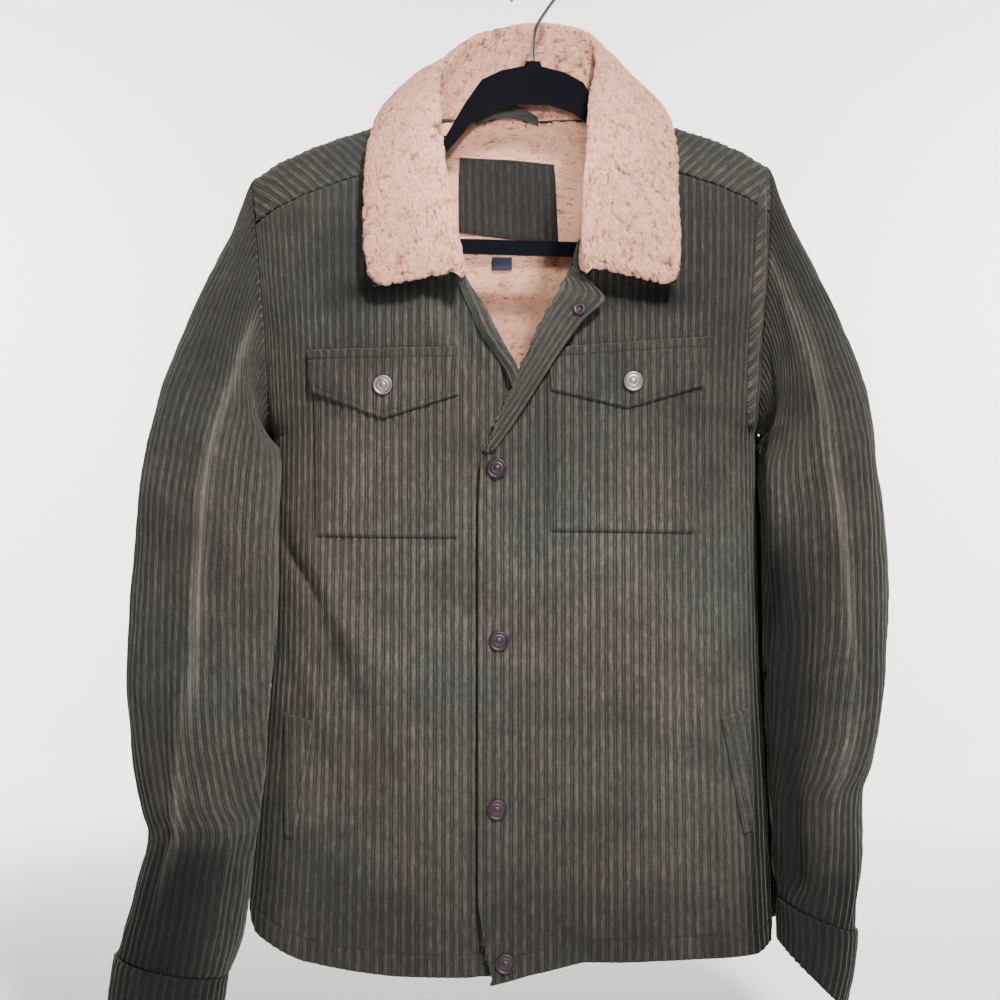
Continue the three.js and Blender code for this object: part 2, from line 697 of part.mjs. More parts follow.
function hook() {
  const centreZ = -WIRE / 2 - HOOK_RADIUS + WIRE / 2;
  const points = [new THREE.Vector3(0, 0, -80.7), new THREE.Vector3(0, 0, -66), new THREE.Vector3(3, 0, -50), new THREE.Vector3(13, 0, -34)];
  for (let i = 0; i <= 12; i++) {
    const angle = mix(-12, 205, i / 12) * (Math.PI / 180);
    const radius = HOOK_RADIUS + WIRE / 2;
    points.push(new THREE.Vector3(radius * Math.cos(angle), 0, centreZ + radius * Math.sin(angle)));
  }
  const circle = new THREE.Shape();
  circle.absarc(0, 0, WIRE / 2, 0, Math.PI * 2, false);
  const path = new THREE.CatmullRomCurve3(points, false, "centripetal");
  return new THREE.ExtrudeGeometry(circle, { steps: 34, curveSegments: 4, bevelEnabled: false, extrudePath: path });
}

// Sherpa lining: the body's own surface again, moved in past the corduroy; the fronts' ends at the facings
const LINING_IN = SHELL + 0.8;
const FACING_COLUMNS = 2;
const liningRows = [0.03, ...ROWS.slice(1)];
function liningFront(side) {
  const us = even(FRONT_COLUMNS).slice(FACING_COLUMNS);
  return wall((u, v) => frontAt(side, u, v), side > 0 ? us : us.reverse(), liningRows, LINING, -LINING_IN);
}

// Pieces on the back lining's inner face: the patch below the neck and the small size label under it
const NECK_PATCH = [[-66.6, -225.7], [24.2, -237.5], [20.5, -164], [-67.5, -156.7]];
const SIZE_LABEL = [[-36.5, -260.5], [-18.5, -260.5], [-18.5, -249], [-36.5, -249]];
function inBack(corners, us, vs, thick, above) {
  const place = fourCorners(...corners);
  return wall((u, v) => backPoint(...place(u, v)), us.toReversed(), vs, thick, -LINING_IN - LINING - above);
}

// The woven loop sewn in at the back of the neck
const LOOP = { fromX: -52, toX: 6, y: 33.6, z: -124, rise: 11, wide: 8 };
function loopAt(u, v) {
  const arch = Math.sin(Math.PI * u);
  const x = mix(LOOP.fromX, LOOP.toX, u);
  return new THREE.Vector3(x, LOOP.y - 0.006 * (x - JACKET_X) ** 2 - 2 * arch, LOOP.z + LOOP.rise * arch + LOOP.wide * v);
}

for (const [name, side] of [["front_right", -1], ["front_left", 1]]) {
  const us = side > 0 ? even(FRONT_COLUMNS) : even(FRONT_COLUMNS).reverse();
  add(name, wall((u, v) => frontAt(side, u, v), us, ROWS, SHELL), "corduroy");
}
add("back", wall(backAt, even(BACK_COLUMNS).reverse(), ROWS, SHELL), "corduroy");
add("yoke", yokeWall(SHELL, 0), "corduroy");
add("lining_yoke", yokeWall(LINING, -LINING_IN), "sherpa");
add("lining_back", wall(backAt, even(BACK_COLUMNS).reverse(), liningRows, LINING, -LINING_IN), "sherpa");
add("lining_front_right", liningFront(-1), "sherpa");
add("lining_front_left", liningFront(1), "sherpa");
add("neck_patch", inBack(NECK_PATCH, even(8), even(7), 1.8, 2 * ABOVE), "corduroy");
add("size_label", inBack(SIZE_LABEL, even(2), even(2), 0.8, ABOVE), "label");
add("hanger_loop", wall(loopAt, even(10), even(1), 1.5), "twill");
add("sleeve_right", sleeve(SLEEVE_RIGHT, -1), "corduroy");
add("sleeve_left", sleeve(SLEEVE_LEFT, 1), "corduroy");
add("cuff_right", cuff(CUFF_RIGHT, -1), "corduroy");
add("cuff_left", cuff(CUFF_LEFT, 1), "corduroy");
add("collar", wall(collarAt, collarShares, collarRows, COLLAR), "sherpa");
add("undercollar", wall(collarAt, collarShares, undercollarRows, SHELL, -(COLLAR + ABOVE)), "corduroy");
for (const side of ["right", "left"]) {
  add(`pocket_${side}`, patch(fourCorners(...POCKETS[side].corners), even(8), even(9), POCKET_THICK, ABOVE), "corduroy");
  add(`flap_${side}`, patch(flapPlace(FLAPS[side]), even(8), even(3), FLAP_THICK, POCKET_THICK + 2 * ABOVE), "corduroy");
  add(`welt_${side}`, patch(WELTS[side], even(3), even(8), POCKET_THICK, ABOVE), "corduroy");
  const [x, z] = FLAPS[side].snap;
  add(`snap_flap_${side}`, frontSnap(x, z, POCKET_THICK + FLAP_THICK + 3 * ABOVE), "metal");
}
const PLACKET_SNAPS = {
  columns: ["x", "z"],
  rows: [
    [-32, -444],
    [-30.5, -590],
    [-32, -732],
    [-25, -861],
  ],
};
PLACKET_SNAPS.rows.forEach(([x, z], i) => add(`snap_placket_${i + 1}`, frontSnap(x, z, ABOVE), "metal"));
add("front_facing_turned", wall(turnedAt, even(4), even(7), SHELL), "corduroy");
const nearSocket = (du, dv) => turnedAt(SOCKET_AT.u + du, SOCKET_AT.v + dv);
add("snap_socket_turned", snap(SNAP_SOCKET, 12, nearSocket, 0.02, ABOVE), "metal");
add("hanger_frame", hangerFrame(), "flock");
add("hanger_hook", hook(), "chrome");

export default group;
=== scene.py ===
"""A sherpa lined wide-wale corduroy shirt jacket on a flocked hanger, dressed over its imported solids."""

import math

import bpy
import numpy as np
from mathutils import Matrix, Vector


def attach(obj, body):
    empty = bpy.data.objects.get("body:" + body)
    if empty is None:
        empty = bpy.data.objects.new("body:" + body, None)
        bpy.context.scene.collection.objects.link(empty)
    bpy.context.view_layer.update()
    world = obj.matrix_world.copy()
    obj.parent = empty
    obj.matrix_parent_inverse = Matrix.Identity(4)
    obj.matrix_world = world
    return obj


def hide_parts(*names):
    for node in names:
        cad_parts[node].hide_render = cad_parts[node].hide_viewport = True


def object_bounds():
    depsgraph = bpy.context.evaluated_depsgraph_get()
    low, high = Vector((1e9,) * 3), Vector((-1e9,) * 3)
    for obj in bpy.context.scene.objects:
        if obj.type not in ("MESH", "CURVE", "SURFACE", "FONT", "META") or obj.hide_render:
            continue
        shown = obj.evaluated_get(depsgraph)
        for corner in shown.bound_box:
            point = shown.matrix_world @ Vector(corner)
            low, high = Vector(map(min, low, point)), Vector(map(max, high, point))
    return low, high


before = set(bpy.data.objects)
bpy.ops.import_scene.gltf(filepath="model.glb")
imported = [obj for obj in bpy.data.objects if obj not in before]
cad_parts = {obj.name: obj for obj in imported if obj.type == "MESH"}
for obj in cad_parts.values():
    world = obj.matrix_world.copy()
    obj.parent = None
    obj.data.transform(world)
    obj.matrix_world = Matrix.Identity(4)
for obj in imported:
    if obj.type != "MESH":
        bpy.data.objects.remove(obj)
cad_box = [list(corner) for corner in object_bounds()]

# Sizes in millimetres, as in the part's source
JACKET_X = -20
SHELL = 2.4
LINING = 4.5
COLLAR = 8
SEAM = 0.5
ABOVE = 0.8
ARMPIT_Z = -411
SHOULDER_HALF = 229
SHOULDER_TILT = 5.5
BACK_YOKE_Z = -240
YOKE_FRONT_DROP = 46
BACK_NECK_SHARE = 0.4
ARMHOLE_HALF_DEPTH = 50
ARMPIT_SHARE = 0.69
REPEAT = 7.35  # the corduroy's wales are wide and narrow by turns: this is the width of a pair
WIDE_SHARE = 5 / 7
STITCH = 3.2
POCKET_THICK = 2
FLAP_THICK = 2.6
MM = 0.001

# The body: half widths and half depths at each height
BODY = {
    "z": [-890, -765, -600, -411, -330, -260, -180, -100],
    "half_right": [239, 227, 214, 210, 212, 218, 228, 229],
    "half_left": [234, 228, 220, 216, 218, 223, 228, 229],
    "front": [98, 93, 88, 82, 76, 68, 56, 46],
    "back": [88, 80, 74, 68, 64, 58, 50, 46],
}
SHOULDER = {
    "from_centre": [0, 40, 78, 113, 145, 173, 200, 229],
    "z": [-103, -111, -125, -135, -144, -153, -164, -181],
}
EDGE = {
    -1: {
        "z": [-885, -403, -361, -317, -276, -220, -165, -125],
        "x": [-14, -13, -15, -38, -62, -80, -93, -98],
    },
    1: {
        "z": [-885, -844, -810, -488, -440, -407, -369, -323, -274, -220, -165, -125],
        "x": [-34, -43, -48, -48, -46, -34, -17, 4, 30, 46, 62, 69],
    },
}
HEM = {
    -1: {"share": [0, 0.3, 0.55, 0.8, 1], "z": [-873, -872, -864, -848, -822]},
    1: {"share": [0, 0.1, 0.2, 0.5, 0.75, 0.9, 1], "z": [-879, -869, -860, -861, -864, -857, -834]},
}
HEM_BACK = {
    "share": [0, 0.12, 0.3, 0.5, 0.7, 0.88, 1],
    "z": [-822, -848, -864, -868, -866, -856, -834],
}
# Broad folds, each from (x1, z1) to (x2, z2), how wide and how high; a trough is below 0
FRONT_FOLDS = [
    (-196, -500, -98, -735, 26, 6),
    (-222, -560, -140, -790, 24, -4),
    (160, -590, 180, -790, 26, -4),
    (-64, -600, -90, -870, 30, 4),
    (70, -640, 84, -870, 32, 4),
    (140, -740, 136, -870, 28, -4),
]
BACK_FOLDS = [
    (-160, -330, -110, -560, 28, 5),
    (120, -330, 76, -600, 28, 5),
    (-20, -520, -34, -870, 34, 7),
    (-120, -600, -130, -870, 30, -5),
    (90, -620, 104, -870, 30, -5),
]
SECTION = ["out_x", "out_z", "in_x", "in_z", "y", "half"]
SLEEVE = {
    -1: [
        (-249.6, -187, -231.4, -411, 0, 50),
        (-272, -243, -229, -419, -8, 54),
        (-304, -322, -223, -428, -20, 56),
        (-326, -379, -221, -444, -32, 57),
        (-339, -445, -223, -480, -41, 57),
        (-345, -515, -222, -532, -47, 56),
        (-348, -594, -224, -600, -51, 54),
        (-347, -664, -229, -662, -54, 52),
        (-338, -730, -235, -722, -57, 48),
        (-330, -759, -239, -748, -59, 46),
        (-338, -796, -243, -789, -62, 45),
        (-349, -838, -250, -842, -65, 44),
        (-356, -858, -262, -876, -66, 42),
    ],
    1: [
        (209.6, -176, 197.4, -411, 0, 50),
        (240, -240, 198, -419, -6, 54),
        (277, -334, 200, -430, -13, 56),
        (294, -392, 200, -447, -19, 57),
        (303, -462, 200, -487, -24, 57),
        (307, -532, 200, -541, -27, 56),
        (307, -603, 201, -606, -29, 55),
        (303, -664, 204, -667, -31, 52),
        (294, -701, 206, -705, -32, 49),
        (286, -722, 208, -728, -33, 47),
        (285, -766, 210, -762, -36, 46),
        (281, -808, 211, -794, -39, 45),
        (278, -842, 214, -816, -41, 43),
    ],
}
CUFF = {
    -1: [
        (-358, -858.7, -263, -876.8, -66, 43.5),
        (-362, -886, -267, -904, -68, 43.5),
        (-364, -915, -272, -930, -70, 42),
    ],
    1: [
        (280, -842.8, 212.5, -816.8, -42, 44.5),
        (276, -876, 211.5, -834, -45, 44.5),
        (268, -908, 212, -852, -48, 43),
    ],
}
# Folds along the sleeves, each from (turn1, share1) to (turn2, share2), how wide in turns and how high; a turn of 0
# is the outer line, and the front is above 0 on the wearer's right sleeve and below 0 on the left one
SLEEVE_FOLDS = {
    -1: [
        (0.265, 0.03, 0.25, 0.62, 0.02, 6),
        (0.25, 0.5, 0.16, 0.92, 0.022, 6),
        (0.19, 0.08, 0.17, 0.7, 0.035, -4),
        (0.33, 0.12, 0.35, 0.82, 0.035, -5),
        (0.43, 0.1, 0.44, 0.85, 0.03, 5),
        (0.38, 0.62, 0.3, 1.0, 0.03, 4),
        (-0.34, 0.15, -0.34, 0.8, 0.05, -4),
        (-0.18, 0.25, -0.18, 0.75, 0.05, 3),
    ],
    1: [
        (-0.19, 0.0, -0.256, 0.3, 0.018, 6),
        (-0.256, 0.22, -0.203, 0.58, 0.018, 6),
        (-0.203, 0.5, -0.23, 0.78, 0.02, 5),
        (-0.3, 0.1, -0.29, 0.5, 0.03, -3),
        (-0.42, 0.16, -0.36, 0.52, 0.045, 7),
        (-0.33, 0.36, -0.4, 1.1, 0.055, -15),
        (-0.47, 0.02, -0.46, 0.5, 0.03, -7),
        (-0.24, 0.62, -0.26, 1.05, 0.03, 5),
        (0.2, 0.2, 0.2, 0.72, 0.04, 3.5),
        (0.4, 0.15, 0.4, 0.6, 0.04, 3),
    ],
}
# Painted light on the sleeves and cuffs: painted shade where shadow falls (below 0), and along the pressed creases,
# which are also flattened, a painted highlight (above 0); lines as the folds are
CUFF_PAINTED_SHADE = -0.9
SLEEVE_PAINTED_SHADE_AND_SHEEN = {
    -1: [
        (0.265, -0.05, 0.25, 0.62, 0.016, 0.6),
        (0.25, 0.5, 0.16, 0.92, 0.018, 0.5),
        (0.2, -0.3, 0.2, 1.3, 0.3, -0.42),
        (0.02, 0.7, 0.02, 1.4, 0.42, -0.75),
    ],
    1: [
        (-0.19, -0.1, -0.256, 0.3, 0.018, 0.65),
        (-0.256, 0.2, -0.203, 0.58, 0.018, 0.65),
        (-0.203, 0.5, -0.23, 0.78, 0.018, 0.55),
        (-0.2, -0.3, -0.2, 1.3, 0.3, -0.5),
        (-0.1, -0.1, -0.1, 1.3, 0.06, -0.15),
        (-0.4, 0.3, -0.43, 1.4, 0.085, -0.7),
        (-0.1, 0.8, -0.1, 1.3, 0.3, -0.4),
    ],
}
# Painted shade on the fronts (all below 0): at the sides in the sleeves' shadow, under the collar's points, and darker
# towards the shoulders and the hem; lines as the folds are
FRONT_PAINTED_SHADE = [
    (206, -330, 197, -1250, 15, -1.3),
    (-240, -480, -252, -1000, 18, -0.5),
    (-190, -292, -24, -290, 11, -0.75),
    (4, -293, 150, -299, 13, -0.8),
    (160, -100, 160, -540, 75, -0.45),
    (-150, -100, -150, -460, 75, -0.25),
    (-130, -770, -130, -1000, 100, -0.3),
    (110, -750, 110, -1000, 110, -0.4),
]
STATION = ["seam_x", "seam_z", "behind", "roll_x", "roll_y", "roll_z", "edge_x", "edge_y", "edge_z", "bulge"]
COLLAR_STATIONS = [
    (-58, -281, -1, -60, -94, -277, -139, -93, -291, 2),
    (-68, -240, -1, -67, -94, -234, -146, -86, -252, 4),
    (-84, -194, -0.9, -76, -84, -184, -147, -75, -206, 6),
    (-96.5, -149, -0.7, -81, -56, -130, -145, -57, -163, 8),
    (-98.5, -122.6, 0, -82, -10, -92, -137, -8, -126, 9),
    (-88, -128, 1, -72, 12, -74, -127, 32, -125, 9),
    (-66, -127, 1, -50, 30, -50, -96, 62, -122, 9),
    (-20, -123.5, 1, 2, 40, -37, -20, 80, -120, 9),
    (32, -125, 1, 46, 30, -46, 66, 62, -120, 9),
    (57, -127, 1, 57, 12, -66, 107, 32, -118, 10),
    (68.5, -121.5, 0, 55, -10, -92, 118, -8, -124, 9),
    (62, -147, -0.7, 47, -56, -130, 124, -57, -160, 8),
    (48, -191, -0.9, 44, -84, -182, 124, -75, -204, 6),
    (40, -236, -1, 40, -94, -230, 124, -86, -247, 4),
    (38, -277, -1, 42, -94, -273, 122, -93, -290, 2),
]
TURNED = [
    (-41.5, -430, -33, -428, 4),
    (-31.5, -404, -12, -398, 8),
    (-15, -367, 14, -357, 13),
    (5, -324, 40, -320, 14),
    (23.5, -288, 59, -300, 14),
    (31, -272, 38, -279, 12),
]


def mix(a, b, t):
    return a + (b - a) * t


def ease(t):
    t = np.clip(t, 0, 1)
    return t * t * (3 - 2 * t)


def look_up(table, key, column, value):
    """The column's value where the table's key is value, joined as in the part's source."""
    keys = np.array(table[key], float)
    numbers = np.array(table[column], float)
    order = np.argsort(keys)
    keys, numbers = keys[order], numbers[order]
    at = np.clip(np.searchsorted(keys, value) - 1, 0, len(keys) - 2)
    t = np.clip((value - keys[at]) / (keys[at + 1] - keys[at]), 0, 1)
    return mix(numbers[at], numbers[at + 1], mix(t, ease(t), 0.25))


def section_at(rows, names, share):
    """Each named number at a share of the rows' length, on a smooth curve through the rows."""
    rows = np.array(rows, float)
    at = np.clip(share, 0, 1) * (len(rows) - 1)
    i = np.minimum(len(rows) - 2, np.floor(at).astype(int))
    t = (at - i)[..., None]
    a, b, c, d = (rows[np.clip(i + k, 0, len(rows) - 1)] for k in (-1, 0, 1, 2))
    out = b + 0.5 * t * (c - a + t * (2 * a - 5 * b + 4 * c - d + t * (3 * (b - c) + d - a)))
    return {name: out[..., k] for k, name in enumerate(names)}


def fold_height(folds, x, z):
    total = np.zeros(np.broadcast(x, z).shape)
    for x1, z1, x2, z2, wide, high in folds:
        dx, dz = x2 - x1, z2 - z1
        along = ((x - x1) * dx + (z - z1) * dz) / (dx * dx + dz * dz)
        across = ((x - x1) * dz - (z - z1) * dx) / math.hypot(dx, dz)
        total += high * ease(np.minimum(along, 1 - along) / 0.3) * np.exp(-((across / wide) ** 2))
    return total


def shoulder_z(x):
    tilt = SHOULDER_TILT * (x - JACKET_X) / SHOULDER_HALF
    return look_up(SHOULDER, "from_centre", "z", np.abs(x - JACKET_X)) + tilt


def side_x(side, z):
    return JACKET_X + side * look_up(BODY, "z", "half_right" if side < 0 else "half_left", z)


def half_width(x, z):
    right = look_up(BODY, "z", "half_right", z)
    left = look_up(BODY, "z", "half_left", z)
    return np.where(x < JACKET_X, right, left)


def body_depth(x, z, front, creases=()):
    """How far the body's outer surface stands from the plane of the side seams at (x, z)."""
    share = np.clip(np.abs(x - JACKET_X) / half_width(x, z), 0, 1)
    tip = np.where(x < JACKET_X, shoulder_z(side_x(-1, -180)), shoulder_z(side_x(1, -180)))
    armhole_half = (tip - ARMPIT_Z) / 2
    low = np.clip((z - ARMPIT_Z) / armhole_half, 0, 1)
    edge = ARMHOLE_HALF_DEPTH * mix(ease(low), np.sqrt(1 - (1 - low) ** 2), share**12)
    rise = mix(2, 1, ease((z - ARMPIT_Z) / 90))
    middle = look_up(BODY, "z", "front" if front else "back", z)
    depth = edge + (middle - edge) * (1 - share ** mix(5, 3, rise - 1)) ** (1 / rise)
    round_height = mix(60, armhole_half, ease(share))
    below = np.clip((shoulder_z(x) - z) / round_height, 0, 1)
    calm = ease((1 - share) / 0.12)
    fold = fold_height(FRONT_FOLDS if front else BACK_FOLDS, x, z) * calm
    fold = fold + fold_height(creases, x, z) * calm
    return (depth + fold) * np.sqrt(1 - (1 - below) ** 2)


def front_point(x, z, push=0, creases=()):
    return np.stack([x, -body_depth(x, z, True, creases) - SEAM / 2 + push, z], -1)


def back_point(x, z, push=0, creases=()):
    return np.stack([x, body_depth(x, z, False, creases) + SEAM / 2 + push, z], -1)


def neck_x(side, drop):
    """Where a front's edge crosses the line that runs drop below the shoulder line."""
    first = look_up(EDGE[side], "z", "x", -123.0 - drop)
    return look_up(EDGE[side], "z", "x", shoulder_z(first) - drop)


def panel_z(bottom, top, v):
    low = mix(bottom, ARMPIT_Z, v / ARMPIT_SHARE)
    return np.where(v < ARMPIT_SHARE, low, mix(ARMPIT_Z, top, (v - ARMPIT_SHARE) / (1 - ARMPIT_SHARE)))


HEM_ROWS = np.array([0, 0.8, 2, 5, 9, 13, 16.5, 17.8, 18.4, 19, 19.6, 20.2, 21.5])
SEAM_ROWS = np.array([14, 8, 5, 3, 1.6, 0.7, 0])


def sewn_rows(bottom, top, count):
    """Heights of a panel's rows, close together at the hem's stitching and under the yoke."""
    low = bottom + HEM_ROWS[:, None]
    high = top - SEAM_ROWS[:, None]
    between = panel_z(low[-1:], high[:1], even(0, 1, count)[1:-1, None])
    return np.concatenate([low, between, high])


def stitched(distance, run, wide=0.7):
    """How deep a row of stitches pulls the pile down, 0 to 1, at a distance from the row and a place along it."""
    return np.exp(-((distance / wide) ** 2)) * (0.72 + 0.28 * np.cos(2 * math.pi * run / STITCH))


def underlap(x, z):
    """How far the wearer's right front is pushed back under the left one."""
    return 6.5 * ease((x - look_up(EDGE[1], "z", "x", z) + 22) / 16)


# Cloth as grids: an array of rows of points in millimetres, with its wales counted across and its length along


def normals_of(points):
    """Outward normals of a grid of points: across its columns, then along its rows."""
    across = np.gradient(points, axis=1)
    along = np.gradient(points, axis=0)
    normal = np.cross(across, along)
    size = np.linalg.norm(normal, axis=-1, keepdims=True)
    return normal / np.maximum(size, 1e-9)


def arc_length(points, axis):
    """Distance along one direction of a grid, from its first point."""
    steps = np.linalg.norm(np.diff(points, axis=axis), axis=-1)
    start = np.zeros_like(steps.take([0], axis=axis))
    return np.concatenate([start, np.cumsum(steps, axis=axis)], axis=axis)


def lattice(seed):
    random = np.random.default_rng(seed)
    return random.random((256, 256, 3))


def soft_noise(x, y, size, seed):
    """Smooth noise from -1 to 1 with bumps of about that size."""
    grid = lattice(seed)[..., 0] * 2 - 1
    x, y = x / size + 100.5, y / size + 100.5
    i, j = np.floor(x).astype(int), np.floor(y).astype(int)
    s, t = ease(x - i), ease(y - j)
    pick = lambda a, b: grid[(i + a) % 256, (j + b) % 256]
    return mix(mix(pick(0, 0), pick(1, 0), s), mix(pick(0, 1), pick(1, 1), s), t)


def tufts(x, y, size, seed):
    """Distance to the nearest tuft's middle, 0 at the middle and about 1 in the creases between tufts."""
    grid = lattice(seed)
    x, y = x / size + 50.5, y / size + 50.5
    i, j = np.floor(x).astype(int), np.floor(y).astype(int)
    nearest = np.full(x.shape, 9.0)
    for a in (-1, 0, 1):
        for b in (-1, 0, 1):
            cell = grid[(i + a) % 256, (j + b) % 256]
            gap = np.hypot(i + a + cell[..., 0] - x, j + b + cell[..., 1] - y)
            nearest = np.minimum(nearest, gap)
    return np.clip(nearest, 0, 1)


def ridge(across):
    """The pile over a pair of wales, 0 to 1: a wide rounded ridge, and a narrow one that stands a little lower."""
    place = across / REPEAT
    place = place - np.floor(place)
    wide = 1 - np.abs(2 * place / WIDE_SHARE - 1) ** 3
    narrow = 0.85 * (1 - np.abs(2 * (place - WIDE_SHARE) / (1 - WIDE_SHARE) - 1) ** 2)
    return np.where(place < WIDE_SHARE, wide, narrow)


def cloth_waves(across, along):
    """The slack of cloth that hangs free, in millimetres: shallow waves, longer down the cloth than across it."""
    broad = soft_noise(across, along * 0.5, 30, 31)
    return 1.5 * broad + 0.7 * soft_noise(across, along * 0.45, 12, 32)


def corduroy_height(across, along, sewn=0, painted_shade_and_sheen=0):
    """Raised wales whose pile is crushed here and there, pulled down where it is sewn, and pressed flat along the
    pressed creases, where the mark of painted shade and sheen is above 0.
    """
    crush = 1 + 0.25 * soft_noise(across, along, 9, 11) + 0.15 * soft_noise(across, along, 2.6, 12)
    pressed = 1 - 0.8 * sewn - 0.55 * np.clip(painted_shade_and_sheen, 0, 1)
    return 1.3 * ridge(across) * crush * pressed - 0.7 - 0.5 * sewn


def sherpa_height(across, along, high=5.0):
    """Curly pile: curls of about 3 mm in clumps of 8 mm, pushed about so that none is round, with longer creases
    wandering between some of the clumps."""
    push_x = 1.8 * soft_noise(across, along, 4, 21) + 3.5 * soft_noise(across, along, 14, 27)
    push_y = 1.8 * soft_noise(across, along, 4, 22) + 3.5 * soft_noise(across, along, 14, 28)
    x, y = across + push_x, along + push_y
    clumps = 1 - tufts(x, y * 0.8, 8.5, 23) ** 2.2
    curls = 1 - tufts(x, y, 3.3, 24) ** 1.6
    parted = ease((soft_noise(across, along, 17, 30) + 0.1) / 0.3)
    crease = 1 - parted * (1 - ease(np.abs(soft_noise(x * 1.3, y * 0.8, 11, 29)) / 0.15))
    swell = 0.5 + 0.5 * soft_noise(across, along, 26, 25)
    return high * (0.3 * clumps + 0.4 * curls + 0.24 * crease + 0.12 * swell)


def make_piece(name, grids, finish, replaces=(), rim=SHELL):
    """A mesh from grids of points in millimetres, each (points, across, along, marks). Points that lie together become
    one, and faces with no area go. The marks are named numbers at each point that the cloth's finish reads."""
    flat = np.concatenate([g[0].reshape(-1, 3) for g in grids])
    cloth_uv = np.concatenate([np.stack([g[1], g[2]], -1).reshape(-1, 2) for g in grids])
    corners, start = [], 0
    for points, *_ in grids:
        rows, columns = points.shape[:2]
        number = start + np.arange(rows * columns).reshape(rows, columns)
        square = [number[:-1, :-1], number[:-1, 1:], number[1:, 1:], number[1:, :-1]]
        corners.append(np.stack(square, -1).reshape(-1, 4))
        start += rows * columns
    corners = np.concatenate(corners)
    _, first, same = np.unique(np.round(flat, 3), axis=0, return_index=True, return_inverse=True)
    merged = same.reshape(-1)[corners]
    faces, face_uv = [], []
    for face, grid_corners in zip(merged.tolist(), corners.tolist()):
        keep = [k for k in range(4) if face[k] != face[k - 1]]
        if len({face[k] for k in keep}) == len(keep) >= 3:
            faces.append([face[k] for k in keep])
            face_uv.extend(grid_corners[k] for k in keep)
    mesh = bpy.data.meshes.new(name)
    mesh.from_pydata((flat[first] * MM).tolist(), [], faces)
    layer = mesh.uv_layers.new(name="cloth")
    layer.data.foreach_set("uv", cloth_uv[np.array(face_uv)].astype(np.float32).reshape(-1))
    for mark in grids[0][3]:
        values = np.concatenate([np.broadcast_to(g[3][mark], g[1].shape).reshape(-1) for g in grids])
        numbers = mesh.attributes.new(mark, "FLOAT", "POINT")
        numbers.data.foreach_set("value", values[first].astype(np.float32))
    mesh.shade_smooth()
    mesh.materials.append(finish)
    piece = bpy.data.objects.new(name, mesh)
    bpy.context.scene.collection.objects.link(piece)
    if rim:
        edge = piece.modifiers.new("turned edge", "SOLIDIFY")
        edge.thickness = rim * MM
        edge.offset = -1
        edge.use_rim_only = True
        bpy.context.view_layer.objects.active = piece
        with bpy.context.temp_override(object=piece, active_object=piece, selected_objects=[piece]):
            bpy.ops.object.modifier_apply(modifier="turned edge")
    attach(piece, "root")
    for node in replaces:
        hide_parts(node)
    return piece


def even(start, stop, count):
    return np.linspace(start, stop, count)


# Materials


def linear(hex_colour):
    """An sRGB colour such as "4b4a3f" as the linear colour a shader takes."""
    parts = [int(hex_colour[k : k + 2], 16) / 255 for k in (0, 2, 4)]
    return [p / 12.92 if p <= 0.04045 else ((p + 0.055) / 1.055) ** 2.4 for p in parts] + [1]


def node(material, kind, links=None, inputs=None, **settings):
    """Adds a shader node with its settings; links maps its inputs to (node, output) pairs, and inputs to values."""
    made = material.node_tree.nodes.new("ShaderNode" + kind)
    for key, value in settings.items():
        setattr(made, key, value)
    for key, value in (inputs or {}).items():
        made.inputs[key].default_value = value
    for key, (source, output) in (links or {}).items():
        material.node_tree.links.new(source.outputs[output], made.inputs[key])
    return made


def ramp(material, source, stops):
    """A colour ramp on a value; stops are (place, hex colour)."""
    made = node(material, "ValToRGB", {"Fac": source})
    elements = made.color_ramp.elements
    while len(elements) < len(stops):
        elements.new(0.5)
    for element, (place, colour) in zip(elements, stops):
        element.position = place
        element.color = linear(colour)
    return made


def new_material(name, **shader):
    material = bpy.data.materials.new(name)
    material.use_nodes = True
    principled = material.node_tree.nodes["Principled BSDF"]
    for key, value in shader.items():
        principled.inputs[key.replace("_", " ")].default_value = value
    return material, principled


def join(material, source, target, socket):
    material.node_tree.links.new(source[0].outputs[source[1]], target.inputs[socket])


